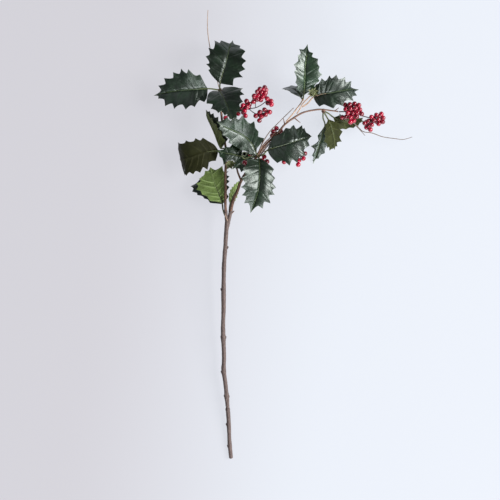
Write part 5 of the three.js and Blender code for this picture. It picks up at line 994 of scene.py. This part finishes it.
            # the feet of the picks, taped along the branch on both sides above the fork
            for i, row in enumerate((
                    ((255.6, 157.0, 45.6, 0.9), (259.2, 151.0, 46.8, 1.15), (264.6, 143.4, 47.4, 1.0), (270.6, 137.2, 47.8, 0.8), (276.6, 131.4, 48.2, 0.5)),
                    ((259.0, 157.6, 44.6, 0.9), (262.6, 152.2, 45.8, 1.15), (268.0, 145.4, 46.4, 1.0), (274.4, 138.4, 46.8, 0.8), (280.4, 132.4, 47.2, 0.5)),
                    ((257.0, 156.4, 46.2, 1.0), (259.8, 149.6, 48.0, 1.1), (262.0, 143.4, 49.2, 0.8), (263.6, 138.6, 49.8, 0.45)))):
                add_tube(M, [[*mmp(*q[:3]), q[3]] for q in row], 0.9, 12, 0, ripple=0.10, seed=70 + i)
        if name == "branch_left":
            c = mmp(230.2, 163.8, 40.4)
            for i, (a, ln) in enumerate(((-165, 11.0), (-120, 13.5), (-75, 12.0), (-35, 11.0), (5, 12.5), (45, 10.0), (100, 8.5), (150, 8.0))):
                d = [math.cos(math.radians(a)), math.sin(math.radians(a)), 0.35]
                bract(M, c, d, (0, 0, 1), ln, 6.4, 30, 1, seed=i)
            add_tube(M, [[*mmp(226.4, 158.0, 34.8), 0.9], [*mmp(228.6, 161.6, 36.2), 0.8], [*c, 0.9]], 0.7, 10, 0, ripple=0.08, seed=9)
        finish_piece(M, parts, [stub_mat, bore_shade_mat] if name == "hollow_stub" else [taped, bract_mat], [name], 60)

    for name in ("twig_long", "twig_w1", "twig_w2", "tendril_top", "tendril_right"):
        M = Mesh()
        def relief(s, ang, centre, k=1.1):
            return 0.05 * np.maximum(0, np.sin(s * k + ang)) ** 4 + 0.03 * np.sin(3 * ang + 0.3 * s)
        fat = 1.25 if name in ("twig_w1", "twig_w2") else 1.0      # paper tape wound over the wire
        add_tube(M, [[*q[:3], q[3] * fat] for q in STEMS[name]], 1.0, 12, 0, relief=relief, ripple=0.08, seed=len(name))
        for i, q in enumerate(SPURS.get(name, [])):
            add_tube(M, q, 0.8, 10, 0, ripple=0.08, seed=30 + i)
        for i, hub in enumerate(HUBS.get(name, [])):
            if name != "twig_w2":          # that one is the bud, made of scales below
                add_knuckle(M, hub, 0, seed=i + 2)
        if name == "twig_w2":
            tip = np.array(STEMS[name][-1][:3])
            heart = np.array(HUBS[name][0][:3])
            add_tube(M, [[*(tip + (tip - heart) * 0.6), 1.1], [*((tip + heart) / 2), 2.3], [*heart, 3.2]], 0.6, 16, 1, ripple=0.08, seed=12)
            for i, (a, ln, lift) in enumerate(((150, 11.0, 0.05), (105, 10.0, 0.35), (62, 11.0, 0.1), (20, 11.5, 0.15), (-22, 9.0, 0.0), (-75, 8.0, -0.1), (195, 10.0, 0.0), (240, 8.0, -0.1), (130, 6.0, 0.9), (10, 6.0, 0.9), (250, 5.5, 0.9))):
                d = [math.cos(math.radians(a)), math.sin(math.radians(a)), lift]
                bract(M, heart + np.array([0, 0, 1.6 - 0.35 * min(i, 7)]), d, (0, 0, 1), ln, 5.4, 46 - 5 * min(i, 7), 1, seed=40 + i)
            for i, (dx, dy) in enumerate(((0.9, 1.2), (-1.9, -0.3), (1.4, -1.6), (-0.6, 2.4), (2.6, 0.4))):
                v, f, po = ball(heart + np.array([dx, dy, 2.2]), (dx, dy, 2), 1.7, 14, 9, lambda th, ph: 0.10 * math.exp(-(th / 0.35) ** 2))
                M.add(v, f, 1, tone=0.5)
        finish_piece(M, name + "_taped", [grey_wire if name in ("twig_long", "tendril_right") else tan_wire, bract_mat], [name], 60)


def mmp(px, py, z):
    """Drawing coordinates of a point seen at these picture coordinates from above, at height z."""
    k = 1.6 * (1 - z / 2400.0)
    return np.array([(px - 250) * k, (250 - py) * k, z])


def make_picks():
    for name, pick in PICKS.items():
        W, B = Mesh(), Mesh()
        for i, rows in enumerate(pick["wires"]):
            add_tube(W, rows, 1.0, 12, 0, ripple=0.09, seed=50 + i)
        for i, b in enumerate(pick["berries"]):
            c, hub = np.array(b[:3]), np.array(b[3:])
            out = c - hub
            gap = np.linalg.norm(out)
            axis = norm(out) if gap > 1e-3 else np.array([0, 0, 1.0])
            jig = np.array([hash01(name, i, k) - 0.5 for k in range(3)])
            axis = norm(axis + 0.5 * jig)
            a1, a2 = hash01(name, i, 7), hash01(name, i, 8)

            def shape(th, ph, a1=a1, a2=a2):
                return (0.018 * math.sin(2 * ph + 6.3 * a1) * math.sin(th) ** 2 + 0.02 * math.sin(3 * th + 6.3 * a2)
                        - 0.075 * math.exp(-(th / 0.2) ** 2) + 0.02 * math.exp(-((th - 0.34) / 0.13) ** 2) - 0.05 * math.exp(-((math.pi - th) / 0.3) ** 2))
            v, f, po = ball(c, axis, BERRY * (0.965 + 0.06 * a1), 26, 17, shape, 1.0 - 0.04 * a2)
            B.add(v, f, 0, polar=po, tone=hash01(name, i, 3) ** 1.5)
            # its own thin wire from the hub, bent a little, into the berry's foot
            foot = c - axis * BERRY * 0.9
            bend = (hub + foot) / 2 + jig * min(3.0, gap * 0.25)
            rows = [[*hub, 0.55], [*bend, 0.5], [*foot, 0.52], [*(foot + axis * 0.9), 0.62]]
            add_tube(W, rows, 0.9, 9, 0, ripple=0.06, seed=60 + i)
        finish_piece(W, name + "_wires", [dark_wire], [name])
        finish_piece(B, name + "_balls", [berry_mat], [name])


def make_leaves():
    for name, leaf in LEAVES.items():
        look = dict(quilt=0.55, ruffle=0.3, rough=0.45, tone=1.0, rib=0.86)
        look.update(LOOKS.get(name, {}))
        M = leaf_piece(name, leaf, look)
        finish_piece(M, name + "_blade", [leaf_top, leaf_under, leaf_edge, tan_wire if look.get("tan_stalk") else stalk_mat], [name], 58)


# a tone above 1 paints light onto a leaf and below 1 paints shade: leaf_06 darkest, as if in shadow, leaf_07 and
# leaf_08 brightest, as if lit through from behind
LOOKS = {
    "leaf_01": dict(quilt=0.4, rough=0.4, gloss=0.85),
    "leaf_02": dict(quilt=0.3, rough=0.35, tone=0.8, gloss=0.6),
    "leaf_03": dict(quilt=0.35, tone=0.8, gloss=0.75),
    "leaf_04": dict(quilt=0.3, rough=0.4, tone=1.2, gloss=0.85),
    "leaf_05": dict(quilt=0.25, rough=0.25, tone=1.0, gloss=0.4),
    "leaf_06": dict(quilt=0.25, tone=0.17, rib=0.25),
    "leaf_07": dict(quilt=0.8, tone=2.7),
    "leaf_08": dict(quilt=0.6, tone=2.3),
    "leaf_09": dict(quilt=0.3, rough=0.5, tone=1.1, gloss=0.82),
    "leaf_10": dict(quilt=0.45, tone=0.9),
    "leaf_11": dict(quilt=0.4, rough=0.4, tone=1.8),
    "leaf_12": dict(quilt=0.6),
    "leaf_13": dict(quilt=0.8, tone=0.8, gloss=0.8, tan_stalk=True),
    "leaf_14": dict(quilt=0.5, tone=0.42),
    "leaf_15": dict(quilt=0.4, tone=1.8),
    "leaf_16": dict(quilt=0.35, tone=0.8),
    "leaf_17": dict(quilt=0.5, tone=0.5),
    "leaf_18": dict(quilt=0.4, tone=2.0),
    "leaf_19": dict(quilt=0.4, tone=0.8),
}

make_stems()
make_leaves()
make_picks()


# ------------------------------------------------------------------ floor, light, camera
def make_floor():
    N, half = 24, 3.0
    xs = np.linspace(-half, half, N + 1)
    verts = [(x, y, 0.0) for y in xs for x in xs]
    faces = [(j * (N + 1) + i, j * (N + 1) + i + 1, (j + 1) * (N + 1) + i + 1, (j + 1) * (N + 1) + i) for j in range(N) for i in range(N)]
    mesh = bpy.data.meshes.new("floor")
    mesh.from_pydata(verts, [], faces)
    m = Mat("floor_paper")
    pos = m.node("ShaderNodeTexCoord").outputs["Object"]
    n1, n2 = m.noise(pos, 1.2, 2.0, 0.5), m.noise(pos, 900.0, 3.0, 0.6)
    xyz = m.node("ShaderNodeSeparateXYZ")
    m.link(pos, xyz.inputs[0])
    # painted light: the floor colour runs from darker on the left to brighter on the right, the falloff of the
    # right-hand softbox
    across = m.smooth(m.math("ADD", m.math("ADD", xyz.outputs[0], m.math("MULTIPLY", xyz.outputs[1], -0.12)), m.math("MULTIPLY", m.math("SUBTRACT", n1, 0.5), 0.08)), FLOOR_LEFT, FLOOR_RIGHT)
    col = m.mix(across, FLOOR_A, FLOOR_B)
    # the floor glows with its own colour, painted light that washes out the shadows cast on it; the lamps light only a
    # small share of it
    m.set(Base_Color=m.mix(1.0, col, (FLOOR_DIFFUSE,) * 3 + (1,), "MULTIPLY"), Roughness=m.smooth(n2, 0.3, 0.7, 0.85, 0.95), Normal=m.bump(n2, 0.15, 0.0001), Specular_IOR_Level=0.1,
          Emission_Color=col, Emission_Strength=FLOOR_GLOW)
    mesh.materials.append(m.m)
    ob = bpy.data.objects.new("floor", mesh)
    bpy.context.scene.collection.objects.link(ob)


# FLOOR_GLOW is the painted glow of the floor, FLOOR_DIFFUSE the small share it takes from the lamps
FLOOR_GLOW, FLOOR_DIFFUSE = 0.80, 0.12
FLOOR_LEFT, FLOOR_RIGHT = -0.32, 0.14
FLOOR_A, FLOOR_B = (0.700, 0.690, 0.740, 1), (0.850, 0.890, 0.965, 1)


def area(name, where, target, size, power, colour=(1, 1, 1)):
    light = bpy.data.lights.new(name, "AREA")
    light.shape = "RECTANGLE"
    light.size, light.size_y = size
    light.energy = power
    light.color = colour
    ob = bpy.data.objects.new(name, light)
    ob.location = where
    ob.rotation_euler = (Vector(target) - Vector(where)).to_track_quat("-Z", "Y").to_euler()
    bpy.context.scene.collection.objects.link(ob)


make_floor()
area("softbox_right", (2.5, 0.30, 2.05), (0.02, 0.12, 0.03), (1.5, 1.9), 165, (1.0, 0.99, 0.98))
area("softbox_foot", (0.25, -2.7, 1.55), (0, 0.1, 0.03), (3.0, 1.3), 105, (0.98, 0.99, 1.0))
area("softbox_far_left", (-2.4, 1.4, 2.4), (0, 0.1, 0), (2.2, 2.2), 9, (0.95, 0.97, 1.0))

world = bpy.data.worlds.new("studio")
bpy.context.scene.world = world
world.use_nodes = True
world.node_tree.nodes["Background"].inputs["Color"].default_value = (0.82, 0.85, 0.93, 1)
world.node_tree.nodes["Background"].inputs["Strength"].default_value = 0.115

cam = bpy.data.cameras.new("camera")
cam.lens, cam.sensor_width, cam.clip_end = 108.0, 36.0, 20.0
cam_ob = bpy.data.objects.new("camera", cam)
cam_ob.location = (-0.05247, -0.02487, 2.3998)
cam_ob.rotation_euler = (0, 0, 0)
bpy.context.scene.collection.objects.link(cam_ob)
bpy.context.scene.camera = cam_ob
bpy.context.scene.view_settings.view_transform = "Standard"
